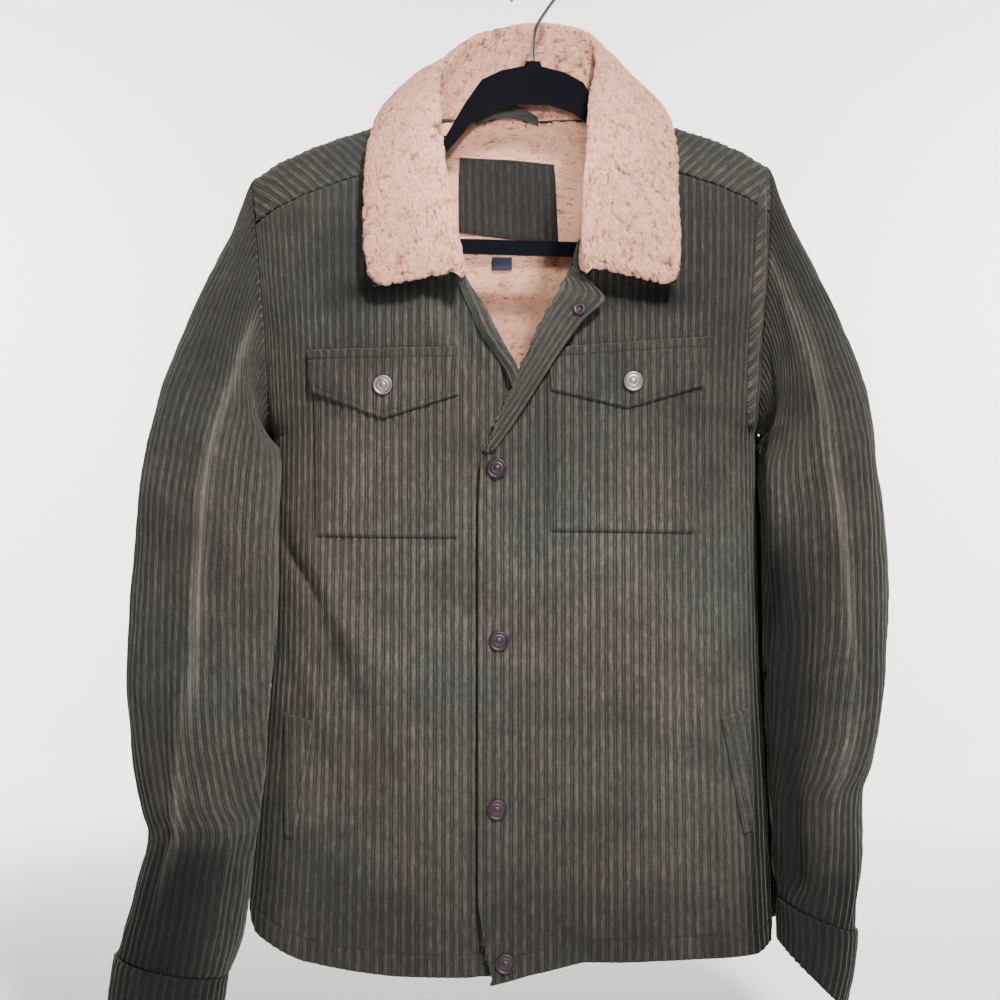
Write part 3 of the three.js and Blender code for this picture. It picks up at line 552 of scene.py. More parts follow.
def make_corduroy():
    """Garment washed cotton corduroy, cut pile in wales: matt, with a soft glow at grazing angles; the pile is painted
    dark down in the valleys as painted shade.
    Where washing and handling have pressed it, it is painted paler as a painted highlight; it is painted darker as
    painted shade where shadows fall and away from the chest's height, and its tone drifts browner here and there."""
    m, shader = new_material(
        "washed cotton corduroy", Roughness=0.9, Sheen_Weight=0.3, Sheen_Roughness=0.4, Specular_IOR_Level=0.2
    )
    shader.inputs["Sheen Tint"].default_value = linear("a9a996")
    uv = node(m, "UVMap", uv_map="cloth")
    spot = node(m, "TexCoord")
    parts = node(m, "SeparateXYZ", {0: (uv, 0)})
    # The wales: 0 in a valley, 1 along the top of a wide one
    wales = node(m, "Math", {0: (parts, "X")}, {1: REPEAT}, operation="DIVIDE")
    place = node(m, "Math", {0: (wales, 0)}, operation="FRACT")
    top = ramp(m, (place, 0), [
        (0.0, "000000"), (0.14, "f2f2f2"), (0.36, "ffffff"), (0.58, "f2f2f2"), (WIDE_SHARE, "000000"),
        (0.8, "c8c8c8"), (0.86, "dcdcdc"), (0.92, "c8c8c8"), (1.0, "000000"),
    ])
    # The pile: patches crushed along the wales, fine tips, and slow changes of tone over the cloth
    stretch = node(m, "Mapping", {"Vector": (uv, 0)}, {"Scale": (0.35, 0.1, 1)})
    crushed = node(m, "TexNoise", {"Vector": (stretch, 0)}, {"Scale": 1, "Detail": 4, "Roughness": 0.7})
    tips = node(m, "TexNoise", {"Vector": (uv, 0)}, {"Scale": 1.0, "Detail": 3, "Roughness": 0.75})
    tone = node(m, "TexNoise", {"Vector": (spot, "Object")}, {"Scale": 7.5, "Detail": 6, "Roughness": 0.68})
    worn = node(m, "TexNoise", {"Vector": (spot, "Object")}, {"Scale": 17, "Detail": 4, "Roughness": 0.6})
    pile = ramp(m, (tone, "Fac"), [(0.36, "70726a"), (0.5, "7c756c"), (0.64, "897b72")])
    # Painted light: the cloth is painted darker and cooler away from the chest's height, towards the shoulders and the
    # hem, as the light falls off
    upright = node(m, "SeparateXYZ", {0: (spot, "Object")})
    from_chest = node(m, "Math", {0: (upright, "Z")}, {1: 0.53}, operation="ADD")
    away = node(m, "Math", {0: (from_chest, 0)}, operation="ABSOLUTE")
    far = node(m, "MapRange", {"Value": (away, 0)}, {"From Min": 0.05, "From Max": 0.38}, interpolation_type="SMOOTHSTEP")
    painted_light_falloff = ramp(m, (far, 0), [(0.0, "ffffff"), (1.0, "c6cacb")])
    light = ramp(m, (crushed, "Fac"), [(0.28, "8c8c8c"), (0.5, "c4c4c4"), (0.72, "ffffff")])
    shade = ramp(m, (worn, "Fac"), [(0.3, "bdbdbd"), (0.7, "ffffff")])
    fuzz = ramp(m, (tips, "Fac"), [(0.32, "868686"), (0.68, "ffffff")])
    colour = (pile, 0)
    for layer in (light, shade, fuzz, painted_light_falloff):
        colour = (node(m, "Mix", {6: colour, 7: (layer, 0)}, {0: 1}, data_type="RGBA", blend_type="MULTIPLY"), 2)
    # Painted shade: down in the valleys between the wales the pile is painted near black
    valley = node(m, "Mix", {0: (top, 0), 7: colour}, {6: linear("1d1b17")}, data_type="RGBA")
    # Sewn down, the pile lets the thread's shadow show
    sewn = node(m, "Attribute", attribute_name="sewn")
    pulled = node(m, "Math", {0: (sewn, "Fac")}, {1: 0.75}, operation="MULTIPLY")
    both = node(m, "Mix", {0: (pulled, 0), 6: (valley, 2)}, {7: linear("1f1d18")}, data_type="RGBA")
    # Painted light from the mark: above 0, along pressed ridges, the pile is painted paler as a painted highlight;
    # below 0 the cloth is painted darker as painted shade
    painted_shade_and_sheen = node(m, "Attribute", attribute_name="painted_shade_and_sheen")
    pressed = node(m, "MapRange", {"Value": (painted_shade_and_sheen, "Fac")}, {"To Max": 0.75})
    pale = node(m, "Mix", {0: (pressed, 0), 6: (both, 2)}, {7: linear("847c72")}, data_type="RGBA")
    painted_shade_amount = node(m, "MapRange", {"Value": (painted_shade_and_sheen, "Fac")}, {"From Min": -1, "From Max": 0})
    painted_shade_ramp = ramp(m, (painted_shade_amount, 0), [(0.0, "5a6068"), (1.0, "ffffff")])
    with_painted_shade = node(m, "Mix", {6: (pale, 2), 7: (painted_shade_ramp, 0)}, {0: 1}, data_type="RGBA", blend_type="MULTIPLY")
    join(m, (with_painted_shade, 2), shader, "Base Color")
    height = node(m, "Math", {0: (top, 0), 1: (tips, "Fac"), 2: (top, 0)}, operation="MULTIPLY_ADD")
    bump = node(m, "Bump", {"Height": (height, 0)}, {"Strength": 0.6, "Distance": 0.0007})
    join(m, (bump, 0), shader, "Normal")
    return m


def make_sherpa():
    """Polyester sherpa fleece, knitted and brushed into curls: matt, peachy cream on the curls; down in the creases
    between them it is painted browner and darker as painted shade."""
    m, shader = new_material(
        "curly sherpa fleece", Roughness=0.95, Sheen_Weight=0.2, Sheen_Roughness=0.6, Specular_IOR_Level=0.1
    )
    shader.inputs["Sheen Tint"].default_value = linear("f4e2d0")
    pile = node(m, "Attribute", attribute_name="pile")
    uv = node(m, "UVMap", uv_map="cloth")
    curls = node(
        m, "TexNoise", {"Vector": (uv, 0)}, {"Scale": 0.34, "Detail": 5, "Roughness": 0.68, "Distortion": 1.2}
    )
    fibres = node(m, "TexNoise", {"Vector": (uv, 0)}, {"Scale": 1.0, "Detail": 3, "Roughness": 0.75})
    curl = node(m, "Math", {0: (curls, "Fac"), 2: (pile, "Fac")}, {1: 0.5}, operation="MULTIPLY_ADD")
    level = node(m, "MapRange", {"Value": (curl, 0)}, {"From Min": 0.66, "From Max": 1.22})
    # Painted shade: the lower the pile, the darker and browner it is painted
    base = ramp(m, (level, 0), [(0.0, "6e4535"), (0.3, "b37962"), (0.58, "e0a58b"), (0.92, "fbbda1")])
    fuzz = ramp(m, (fibres, "Fac"), [(0.3, "b8aca6"), (0.7, "ffffff")])
    tinted = node(m, "Mix", {6: (base, 0), 7: (fuzz, 0)}, {0: 1}, data_type="RGBA", blend_type="MULTIPLY")
    # Painted shade: short dark partings, aslant, where the pile opens between curls
    slant = node(m, "Mapping", {"Vector": (uv, 0)}, {"Rotation": (0, 0, 0.7), "Scale": (0.13, 0.42, 1)})
    parting = node(
        m, "TexNoise", {"Vector": (slant, 0)}, {"Scale": 1, "Detail": 4, "Roughness": 0.62, "Distortion": 1.4}
    )
    parting_shade = ramp(m, (parting, "Fac"), [(0.35, "a98270"), (0.44, "ffffff")])
    parted = node(m, "Mix", {6: (tinted, 2), 7: (parting_shade, 0)}, {0: 1}, data_type="RGBA", blend_type="MULTIPLY")
    join(m, (parted, 2), shader, "Base Color")
    fibre_height = node(m, "Math", {0: (fibres, "Fac"), 2: (curls, "Fac")}, {1: 0.35}, operation="MULTIPLY_ADD")
    height = node(m, "Math", {0: (parting_shade, 0), 2: (fibre_height, 0)}, {1: 0.3}, operation="MULTIPLY_ADD")
    bump = node(m, "Bump", {"Height": (height, 0)}, {"Strength": 1.0, "Distance": 0.0026})
    join(m, (bump, 0), shader, "Normal")
    return m


def plain_finish(name, colour, grain=0.0, size=1.0, **shader):
    """A finish of one colour with a fine grain in its bump; size is the grain's in millimetres."""
    m, principled = new_material(name, Base_Color=linear(colour), **shader)
    if grain:
        spot = node(m, "TexCoord")
        noise = node(m, "TexNoise", {"Vector": (spot, "Object")}, {"Scale": 1000 / size, "Detail": 3})
        bump = node(m, "Bump", {"Height": (noise, "Fac")}, {"Strength": grain, "Distance": 0.0003})
        join(m, (bump, 0), principled, "Normal")
    return m


corduroy = make_corduroy()
sherpa = make_sherpa()
# Flocked plastic: short nylon fibres that swallow light
flock = plain_finish("flocked plastic", "07070c", 0.6, 0.5, Roughness=1.0, Sheen_Weight=0.08, Specular_IOR_Level=0.04)
chrome = plain_finish("chromed steel wire", "d8d8dc", Metallic=1.0, Roughness=0.1)
nickel = plain_finish("antique nickel", "857c7a", 0.5, 0.5, Metallic=1.0, Roughness=0.42)
copper = plain_finish("antique copper", "40363a", 0.5, 0.5, Metallic=1.0, Roughness=0.46)
tape = plain_finish("woven cotton tape", "2c302b", 0.8, 0.6, Roughness=0.9)
satin = plain_finish("woven satin label", "12152a", 0.4, 0.3, Roughness=0.6, Specular_IOR_Level=0.2)


# The corduroy pieces of the body


def wale_columns(side, front, from_x, step):
    """Columns across half of the body, evenly apart along the cloth: shares of the half width and distances."""
    level = -560.0
    half = abs(side_x(side, level) - JACKET_X)
    start = (from_x - JACKET_X) / (side * half)
    share = start + (1 - start) * np.sin(even(0, math.pi / 2, 3000))
    x = JACKET_X + side * share * half
    points = front_point(x, np.full_like(x, level)) if front else back_point(x, np.full_like(x, level))
    length = arc_length(points[None], 1)[0]
    count = int(length[-1] / step)
    across = np.arange(count + 1) * step
    return np.append(np.interp(across, length, share), 1.0), np.append(across, length[-1]), half


def column_x(side, share, half, z):
    """The x of a column: straight down in the middle of the body, following the side seam near it."""
    grow = half_width(JACKET_X + side * 1.0, z) / half - 1
    return JACKET_X + side * share * half * (1 + grow * np.clip(share, 0, 1) ** 3)


FRONT_START = {-1: -12.0, 1: -48.5}


def front_grid(side, step, rows):
    """Points (x, z) of a front and its wales, its columns cut off at the front edge and the armhole."""
    edge, hem = EDGE[side], HEM[side]
    share, across, half = wale_columns(side, True, FRONT_START[side], step)
    top_in = neck_x(side, YOKE_FRONT_DROP)
    hem_in = look_up(edge, "z", "x", float(look_up(hem, "share", "z", 0.0)))
    hem_out = side_x(side, float(look_up(hem, "share", "z", 1.0)))
    hem_x = column_x(side, share, half, -850.0)
    part = np.clip((hem_x - hem_in) / (hem_out - hem_in), 0, 1)
    bottom = look_up(hem, "share", "z", np.arcsin(part) * 2 / math.pi)[None]
    top_x = column_x(side, share, half, -210.0)
    top_x = np.clip(top_x, top_in, None) if side > 0 else np.clip(top_x, None, top_in)
    top = (shoulder_z(top_x) - YOKE_FRONT_DROP - SEAM)[None]
    z = sewn_rows(bottom, top, rows)
    x = column_x(side, share[None], half, z)
    cut = look_up(edge, "z", "x", z)
    x = np.maximum(x, cut) if side > 0 else np.minimum(x, cut)
    return x, z, np.broadcast_to(across[None], x.shape), share


FRONT_CREASES = [
    (-216, -462, -130, -640, 10, 4),
    (-226, -494, -176, -570, 4.5, -6),
    (-200, -540, -110, -730, 9, -4),
    (-222, -560, -140, -760, 9, 3.5),
    (-60, -560, -64, -860, 10, 1.6),
    (186, -430, 170, -560, 9, -2),
    (40, -560, 60, -800, 12, 1.4),
    (120, -560, 126, -700, 10, -1.4),
    (-110, -700, -120, -868, 12, -1.6),
    (-92, -262, -36, -392, 8, -7),
    (-112, -272, -64, -372, 10, 3),
]
PLACKET_BAND = 41


def front_waves(x, z):
    """Slack in the fronts, none at their edges; what lies on them follows it."""
    calm = ease((1 - np.abs(x - JACKET_X) / half_width(x, z)) / 0.1) * ease((-200 - z) / 60)
    return 0.9 * cloth_waves(x, z) * calm


def on_front(x, z, push=0):
    points = front_point(x, z, push, FRONT_CREASES)
    points[..., 1] -= front_waves(x, z)
    return points


STEP = 1.05  # four columns to a wale


def make_front(name, side):
    x, z, across, _ = front_grid(side, STEP, 100)
    push = underlap(x, z) if side < 0 else 0
    points = front_point(x, z, push, FRONT_CREASES)
    # The layers of the hem and the placket stand a little proud of the single cloth, down from their stitching
    from_hem = z - z[:1]
    sewn = stitched(from_hem - 19, across)
    layers = 0.8 * ease((20 - from_hem) / 1.5)
    if side > 0:
        band = np.abs(x - look_up(EDGE[1], "z", "x", z))
        below_break = ease((-455 - z) / 12)
        sewn = np.maximum(sewn, stitched(band - PLACKET_BAND, z, 0.9) * below_break)
        layers = np.maximum(layers, 0.8 * ease((PLACKET_BAND + 1 - band) / 2) * below_break)
    from_yoke = z[-1:] - z
    sewn = np.maximum(sewn, 0.9 * ease((1.6 - from_yoke) / 1.6))
    points[..., 1] -= layers
    points[..., 1] += 1.2 * ease((4 - from_yoke) / 4)
    points = points + normals_of(points) * (side * corduroy_height(across, z, sewn))[..., None]
    points[..., 1] -= front_waves(x, z)
    # Painted shade on the fronts, from their table: darker at the sides, under the collar's points, towards the
    # shoulders and the hem
    marks = {"sewn": sewn, "painted_shade_and_sheen": fold_height(FRONT_PAINTED_SHADE, x, z)}
    if side < 0:
        points, across, z = points[:, ::-1], across[:, ::-1], z[:, ::-1]
        marks = {mark: values[:, ::-1] for mark, values in marks.items()}
    return make_piece(name, [(points, across, z, marks)], corduroy, [name])


make_front("front_right", -1)
make_front("front_left", 1)


def make_back():
    halves = []
    for side in (-1, 1):
        share, across, half = wale_columns(side, False, float(JACKET_X), STEP)
        z_side = look_up(HEM_BACK, "share", "z", 0.0 if side < 0 else 1.0)
        hem_x = column_x(side, share, half, -850.0)
        part = np.clip((hem_x - JACKET_X) / (side_x(side, float(z_side)) - JACKET_X), 0, 1)
        turn = np.arcsin(part) * 2 / math.pi
        bottom = look_up(HEM_BACK, "share", "z", 0.5 + side * turn / 2)[None]
        z = sewn_rows(bottom, BACK_YOKE_Z - SEAM + 0 * bottom, 88)
        x = column_x(side, share[None], half, z)
        halves.append((x, z, side * np.broadcast_to(across[None], x.shape)))
    (xr, zr, ar), (xl, zl, al) = halves
    x = np.concatenate([xl[:, ::-1], xr[:, 1:]], 1)
    z = np.concatenate([zl[:, ::-1], zr[:, 1:]], 1)
    across = np.concatenate([al[:, ::-1], ar[:, 1:]], 1)
    points = back_point(x, z)
    # Under the arms the back's cloth swells past the side seams, and there it is painted darker as painted shade,
    # where the arms shade it
    depth = points[..., 1]
    low = ease((-392 - z) / 40) * ease((z + 900) / 90)
    out = np.sin(math.pi * np.clip(depth / 70, 0, 1)) ** 0.6 * low * ease((np.abs(x - JACKET_X) - 120) / 60)
    points[..., 0] += np.where(x > JACKET_X, 20, -8) * out
    painted_shade_and_sheen = -ease((np.abs(x - JACKET_X) - 150) / 40) * ease((60 - depth) / 20) * ease((-330 - z) / 60)
    from_hem, from_yoke = z - z[:1], z[-1:] - z
    sewn = np.maximum(stitched(from_hem - 19, across), 0.9 * ease((1.6 - from_yoke) / 1.6))
    points[..., 1] += 0.8 * ease((20 - from_hem) / 1.5) - 1.2 * ease((4 - from_yoke) / 4)
    points = points + normals_of(points) * corduroy_height(across, z, sewn)[..., None]
    grid = (points, across, z, {"sewn": sewn, "painted_shade_and_sheen": painted_shade_and_sheen})
    return make_piece("back", [grid], corduroy, ["back"])


make_back()


def yoke_at(side, u, w):
    tip = side_x(side, -180)
    reach = lambda x: np.where(w < 0, YOKE_FRONT_DROP, shoulder_z(x) - BACK_YOKE_Z)
    edge_x = side_x(side, shoulder_z(tip) - reach(tip) * w * w)
    round_neck = JACKET_X + (neck_x(side, 0.0) - JACKET_X) * np.sqrt(np.clip(1 - (w / BACK_NECK_SHARE) ** 2, 0, 1))
    inner = np.where(w < 0, neck_x(side, YOKE_FRONT_DROP * w * w), round_neck)
    x = mix(inner, edge_x, np.sin(u * math.pi / 2))
    z = shoulder_z(x) - reach(x) * w * w
    points = np.where((w < 0)[..., None], front_point(x, z), back_point(x, z))
    points[..., 1] = np.where(w == 0, 0, points[..., 1])
    return points


def join_halves(one, other, w):
    """Brings the two halves' middle columns together, down from the neck."""
    below = w >= BACK_NECK_SHARE
    one[below] = (one[below] + other[below]) / 2
    other[below] = one[below]


def make_yoke():
    """One piece over both shoulders; its wales run down the back, so on the front they lie aslant."""
    w = np.concatenate([even(-1, 0, 28)[:-1], even(0, 1, 60)])
    u = even(0, 1, int(230 / STEP))
    halves = []
    for side in (1, -1):
        uu, ww = np.meshgrid(u if side > 0 else u[::-1], w)
        points = yoke_at(side, uu, ww)
        drop = shoulder_z(points[..., 0]) - points[..., 2]
        across = points[..., 0] + np.where(ww < 0, 0.75 * side * drop, 0)
        along = arc_length(points, 0)
        normal = normals_of(points)
        middle = (uu == 0) & (ww >= BACK_NECK_SHARE)
        normal[middle, 0] = 0
        points = points + normal * corduroy_height(across, points[..., 2])[..., None]
        halves.append((points, across, along, {}))
    join_halves(halves[0][0][:, 0], halves[1][0][:, -1], w)
    return make_piece("yoke", halves, corduroy, ["yoke"])


make_yoke()


# Sleeves and cuffs


def along_sleeve(lines, u, v):
    """The height at (u, v) of lines along a sleeve: u in turns from the outer line, v as a share of the length."""
    total = 0
    for turn1, start, turn2, end, wide, high in lines:
        turn = mix(turn1, turn2, np.clip((v - start) / (end - start), 0, 1))
        apart = (u - turn + 0.5) % 1 - 0.5
        total = total + high * ease(np.minimum(v - start, end - v) / 0.12) * np.exp(-((apart / wide) ** 2))
    return total


def ring_at(rows, u, v, front_first, creased):
    s = section_at(rows, SECTION, v)
    angle = 2 * math.pi * u
    cos, sin = np.cos(angle), np.sin(angle)
    power = 2 / 2.15
    rounder = lambda a: np.sign(a) * np.abs(a) ** power
    plain = ease(np.minimum(v / 0.12, (1 - v) / 0.1))
    side = -1 if rows[0][0] < rows[0][2] else 1
    crease = along_sleeve(SLEEVE_FOLDS[side], u, v) if creased else 0
    swell = 1 + crease * plain / 56
    along = mix(cos, rounder(cos), plain) * swell
    deep = mix(sin, rounder(sin), plain) * swell
    x = (s["out_x"] + s["in_x"]) / 2 + (s["out_x"] - s["in_x"]) / 2 * along
    z = (s["out_z"] + s["in_z"]) / 2 + (s["out_z"] - s["in_z"]) / 2 * along
    hug = 1 - ease(v / 0.14) if creased else 0
    x = mix(x, side_x(side, z) + side * (2 * SEAM + v * 260), hug)
    y = s["y"] - (1 if front_first else -1) * s["half"] * deep
    return np.stack([x, y, z], -1)


def tube_grid(rows, side, creased, lengths):
    """A tube whose wales run along it from the outer line both ways, cut off at the seam on the inside."""
    v = np.repeat(lengths[:, None], 401, 1)
    turn = np.repeat(even(-0.5, 0.5, 401)[None], len(lengths), 0)
    dense = ring_at(rows, turn, v, side < 0, creased)
    length = arc_length(dense, 1)
    length = length - length[:, 200:201]
    reach = np.abs(length[:, [0, -1]]).max()
    across = np.arange(-math.ceil(reach / STEP), math.ceil(reach / STEP) + 1) * STEP
    known = np.concatenate([dense, turn[..., None]], -1)
    found = np.empty((len(lengths), len(across), 4))
    for row in range(len(lengths)):
        cut = np.clip(across, length[row, 0], length[row, -1])
        for k in range(4):
            found[row, :, k] = np.interp(cut, length[row], known[row, :, k])
    points, turn = found[..., :3], found[..., 3]
    return points, np.broadcast_to(across[None], turn.shape), arc_length(points, 0), turn


def make_tube(name, rows, side, creased, count, proud=0.0):
    share = even(0, 1, count)
    points, across, along, turn = tube_grid(rows, side, creased, share)
    # Cuffs are painted darker all over as painted shade; sleeves take painted shade below 0 and painted highlights
    # along their pressed creases above 0
    painted_shade_and_sheen = np.full(across.shape, CUFF_PAINTED_SHADE)
    if creased:
        end = ease(np.minimum(along, along.max(0) - along) / 30)
        proud = proud + 1.4 * cloth_waves(across, along) * end
        painted_shade_and_sheen = along_sleeve(SLEEVE_PAINTED_SHADE_AND_SHEEN[side], turn, share[:, None])
    normal = normals_of(points)
    facing = np.sign(np.sum(normal * (points - points.mean(1, keepdims=True))))
    lift = corduroy_height(across, along, 0, painted_shade_and_sheen) + proud
    points = points + facing * normal * lift[..., None]
    if creased:
        # The sleeve's end runs on inside its cuff
        down = points[-1] - points[-2]
        points[-1] += 3 * down / np.linalg.norm(down, axis=-1, keepdims=True) - 1.2 * (facing * normal)[-1]
    if facing < 0:
        points, across, along, painted_shade_and_sheen = points[:, ::-1], across[:, ::-1], along[:, ::-1], painted_shade_and_sheen[:, ::-1]
    return make_piece(name, [(points, across, along, {"painted_shade_and_sheen": painted_shade_and_sheen})], corduroy, [name])


for side, where in ((-1, "right"), (1, "left")):
    make_tube(f"sleeve_{where}", SLEEVE[side], side, True, 130)
    make_tube(f"cuff_{where}", CUFF[side], side, False, 20, 0.6)


# The sherpa collar and lining


def collar_curve(u, v):
    """The collar's sherpa face: u round the neck, v from the neck seam over the roll to the outer edge."""
    s = section_at(COLLAR_STATIONS, STATION, u)
    on_body = np.where(s["behind"] < 0, body_depth(s["seam_x"], s["seam_z"], True), body_depth(s["seam_x"], s["seam_z"], False))
    seam_y = np.where(s["behind"] < 0, -on_body + (COLLAR + ABOVE) * s["behind"], on_body)
    seam = np.stack([s["seam_x"], seam_y, s["seam_z"] + ABOVE], -1)
    roll = np.stack([s["roll_x"], s["roll_y"], s["roll_z"]], -1)
    edge = np.stack([s["edge_x"], s["edge_y"], s["edge_z"]], -1)
    out = edge - seam
    out = out / np.linalg.norm(out, axis=-1, keepdims=True)
    up = roll - seam
    over = up - out * np.sum(up * out, -1, keepdims=True)
    over = over / np.linalg.norm(over, axis=-1, keepdims=True)
    bulge = s["bulge"][..., None]
    crest = mix(roll, edge, 0.22) + over * bulge
    fall = mix(roll, edge, 0.6) + over * bulge * 0.9
    knots = np.stack([seam, mix(seam, roll, 0.55), roll, crest, fall, edge])
    return smooth_through(knots, v)


def smooth_through(knots, t):
    """A smooth curve through knots (centripetal, so that it never loops), at share t of its pieces."""
    count = len(knots) - 1
    at = np.clip(t, 0, 1) * count
    i = np.minimum(count - 1, np.floor(at).astype(int))
    f = (at - i)[..., None]
    before = np.concatenate([2 * knots[:1] - knots[1:2], knots, 2 * knots[-1:] - knots[-2:-1]])

    def pick(k):
        return np.take_along_axis(before, (i + k)[None, ..., None], 0)[0]

    p0, p1, p2, p3 = pick(0), pick(1), pick(2), pick(3)
    gap = lambda a, b: np.maximum(np.linalg.norm(a - b, axis=-1, keepdims=True) ** 0.5, 1e-4)
    d0, d1, d2 = gap(p0, p1), gap(p1, p2), gap(p2, p3)
    m1 = ((p1 - p0) / d0 - (p2 - p0) / (d0 + d1) + (p2 - p1) / d1) * d1
    m2 = ((p2 - p1) / d1 - (p3 - p1) / (d1 + d2) + (p3 - p2) / d2) * d1
    return p1 + f * m1 + f * f * (3 * (p2 - p1) - 2 * m1 - m2) + f**3 * (2 * (p1 - p2) + m1 + m2)


def round_corner(a, b, reach):
    """Moves distances a and b from two borders so that the corner between them is round."""
    p, q = np.clip(1 - a / reach, 0, 1), np.clip(1 - b / reach, 0, 1)
    return a + reach * p * (1 - np.sqrt(1 - q * q / 2)), b + reach * q * (1 - np.sqrt(1 - p * p / 2))


def make_collar():
    """Sherpa on the face that shows, rolled over the edges all round, its points rounded off."""
    columns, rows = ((450, 130))
    u, v = np.meshgrid(even(0, 1, columns), even(0, 1, rows))
    end_speed, fall_speed, corner = 510.0, 160.0, 17.0
    for flip in (False, True):
        from_end = (1 - u if flip else u) * end_speed
        from_end, from_edge = round_corner(from_end, (1 - v) * fall_speed, corner)
        u = 1 - from_end / end_speed if flip else from_end / end_speed
        v = 1 - from_edge / fall_speed
    points = collar_curve(u, v)
    across, along = arc_length(points, 1)[rows // 2][None] + 0 * u, arc_length(points, 0)
    height = sherpa_height(across, along)
    mark = height / 5.0
    ends = np.minimum(across, across.max() - across)
    plump = np.sqrt(1 - (1 - np.clip(np.minimum(ends, along[-1:] - along) / 8, 0, 1)) ** 2)
    # The pile also stands out past the turned edge, in curls
    to_edge = np.gradient(points, axis=0)
    to_edge = to_edge / np.maximum(np.linalg.norm(to_edge, axis=-1, keepdims=True), 1e-6)
    to_end = np.gradient(points, axis=1)
    to_end = to_end / np.maximum(np.linalg.norm(to_end, axis=-1, keepdims=True), 1e-6)
    near_edge = ease(1 - (along[-1:] - along) / 6)
    near_end = ease(1 - (across.max() - across) / 6) - ease(1 - across / 6)
    curl = 5.5 * (mark - 0.66)
    face = points + normals_of(points) * ((height - 3.6) * (0.5 + 0.5 * plump) - 5 * (1 - plump))[..., None]
    face = face + to_edge * (near_edge * curl)[..., None] + to_end * (near_end * curl)[..., None]
    return make_piece("collar", [(face, across, along, {"pile": mark})], sherpa, ["collar"], rim=6.0)


make_collar()


def make_undercollar():
    columns, rows = int(430 / STEP), 30
    u, v = np.meshgrid(even(0.004, 0.996, columns), even(0.52, 0.985, rows))
    points = collar_curve(u, v)
    across, along = arc_length(points, 1)[rows // 2][None] + 0 * u, arc_length(points, 0)
    under = points - normals_of(points) * (COLLAR + ABOVE - 1.5)
    grid = (under[:, ::-1], across[:, ::-1], along, {})
    return make_piece("undercollar", [grid], corduroy, ["undercollar"])


make_undercollar()


# What lies on the fronts: pockets, flaps, welts and the turned facing


def patch_grid(side, left, right, foot, top, count):
    """A patch on a front, its wales in line with the front's. left and right are its edges' (x at the foot, x at the
    top); foot is its lower edge's heights evenly along it, and top its upper edge's."""
    share, across, half = wale_columns(side, True, FRONT_START[side], STEP)
    v = even(0, 1, count)[:, None]
    low_x, high_x = mix(left[0], left[1], v), mix(right[0], right[1], v)
    z = np.full((count, len(share)), (foot[0] + top[0]) / 2.0)
    for _ in range(3):
        x = np.clip(column_x(side, share[None], half, z), low_x, high_x)
        u = (x - low_x) / (high_x - low_x)
        foot_z = np.interp(u, even(0, 1, len(foot)), foot)
        top_z = np.interp(u, even(0, 1, len(top)), top)
        z = mix(foot_z, top_z, v)
    inside = np.flatnonzero((x.min(0) < high_x.max() - 0.01) & (x.max(0) > low_x.min() + 0.01))
    keep = slice(max(inside[0] - 1, 0), inside[-1] + 2)
    x, z, u, across = x[:, keep], z[:, keep], u[:, keep], np.broadcast_to(across, z.shape)[:, keep]
    side_gap = np.minimum(x - low_x, high_x - x)
    foot_gap, top_gap = z - foot_z[:, keep], top_z[:, keep] - z
    if side < 0:
        x, z, across = x[:, ::-1], z[:, ::-1], across[:, ::-1]
        side_gap, foot_gap, top_gap = side_gap[:, ::-1], foot_gap[:, ::-1], top_gap[:, ::-1]
    return x, z, across, side_gap, foot_gap, top_gap


def make_patch(name, grid, base, thick, sewn, rim=SHELL):
    x, z, across, side_gap, foot_gap, top_gap = grid
    border = np.minimum(np.minimum(side_gap, foot_gap), top_gap)
    plump = np.sqrt(1 - (1 - np.clip(border / 2.2, 0, 1)) ** 2)
    points = on_front(x, z)
    lift = base + thick * (0.45 + 0.55 * plump) + corduroy_height(across, z, sewn)
    points = points + normals_of(points) * lift[..., None]
    # Pockets, flaps and welts take the fronts' painted shade where they lie
    marks = {"sewn": sewn, "painted_shade_and_sheen": fold_height(FRONT_PAINTED_SHADE, x, z)}
    return make_piece(name, [(points, across, z, marks)], corduroy, [name], rim=rim)


def aslant(patch, x, z):
    """Distances across a slanted patch, from the edge nearer the wearer's right, so that its wales run along it."""
    part = (z - patch["foot"][0]) / (patch["top"][0] - patch["foot"][0])
    return x - mix(patch["left"][0], patch["left"][1], part)


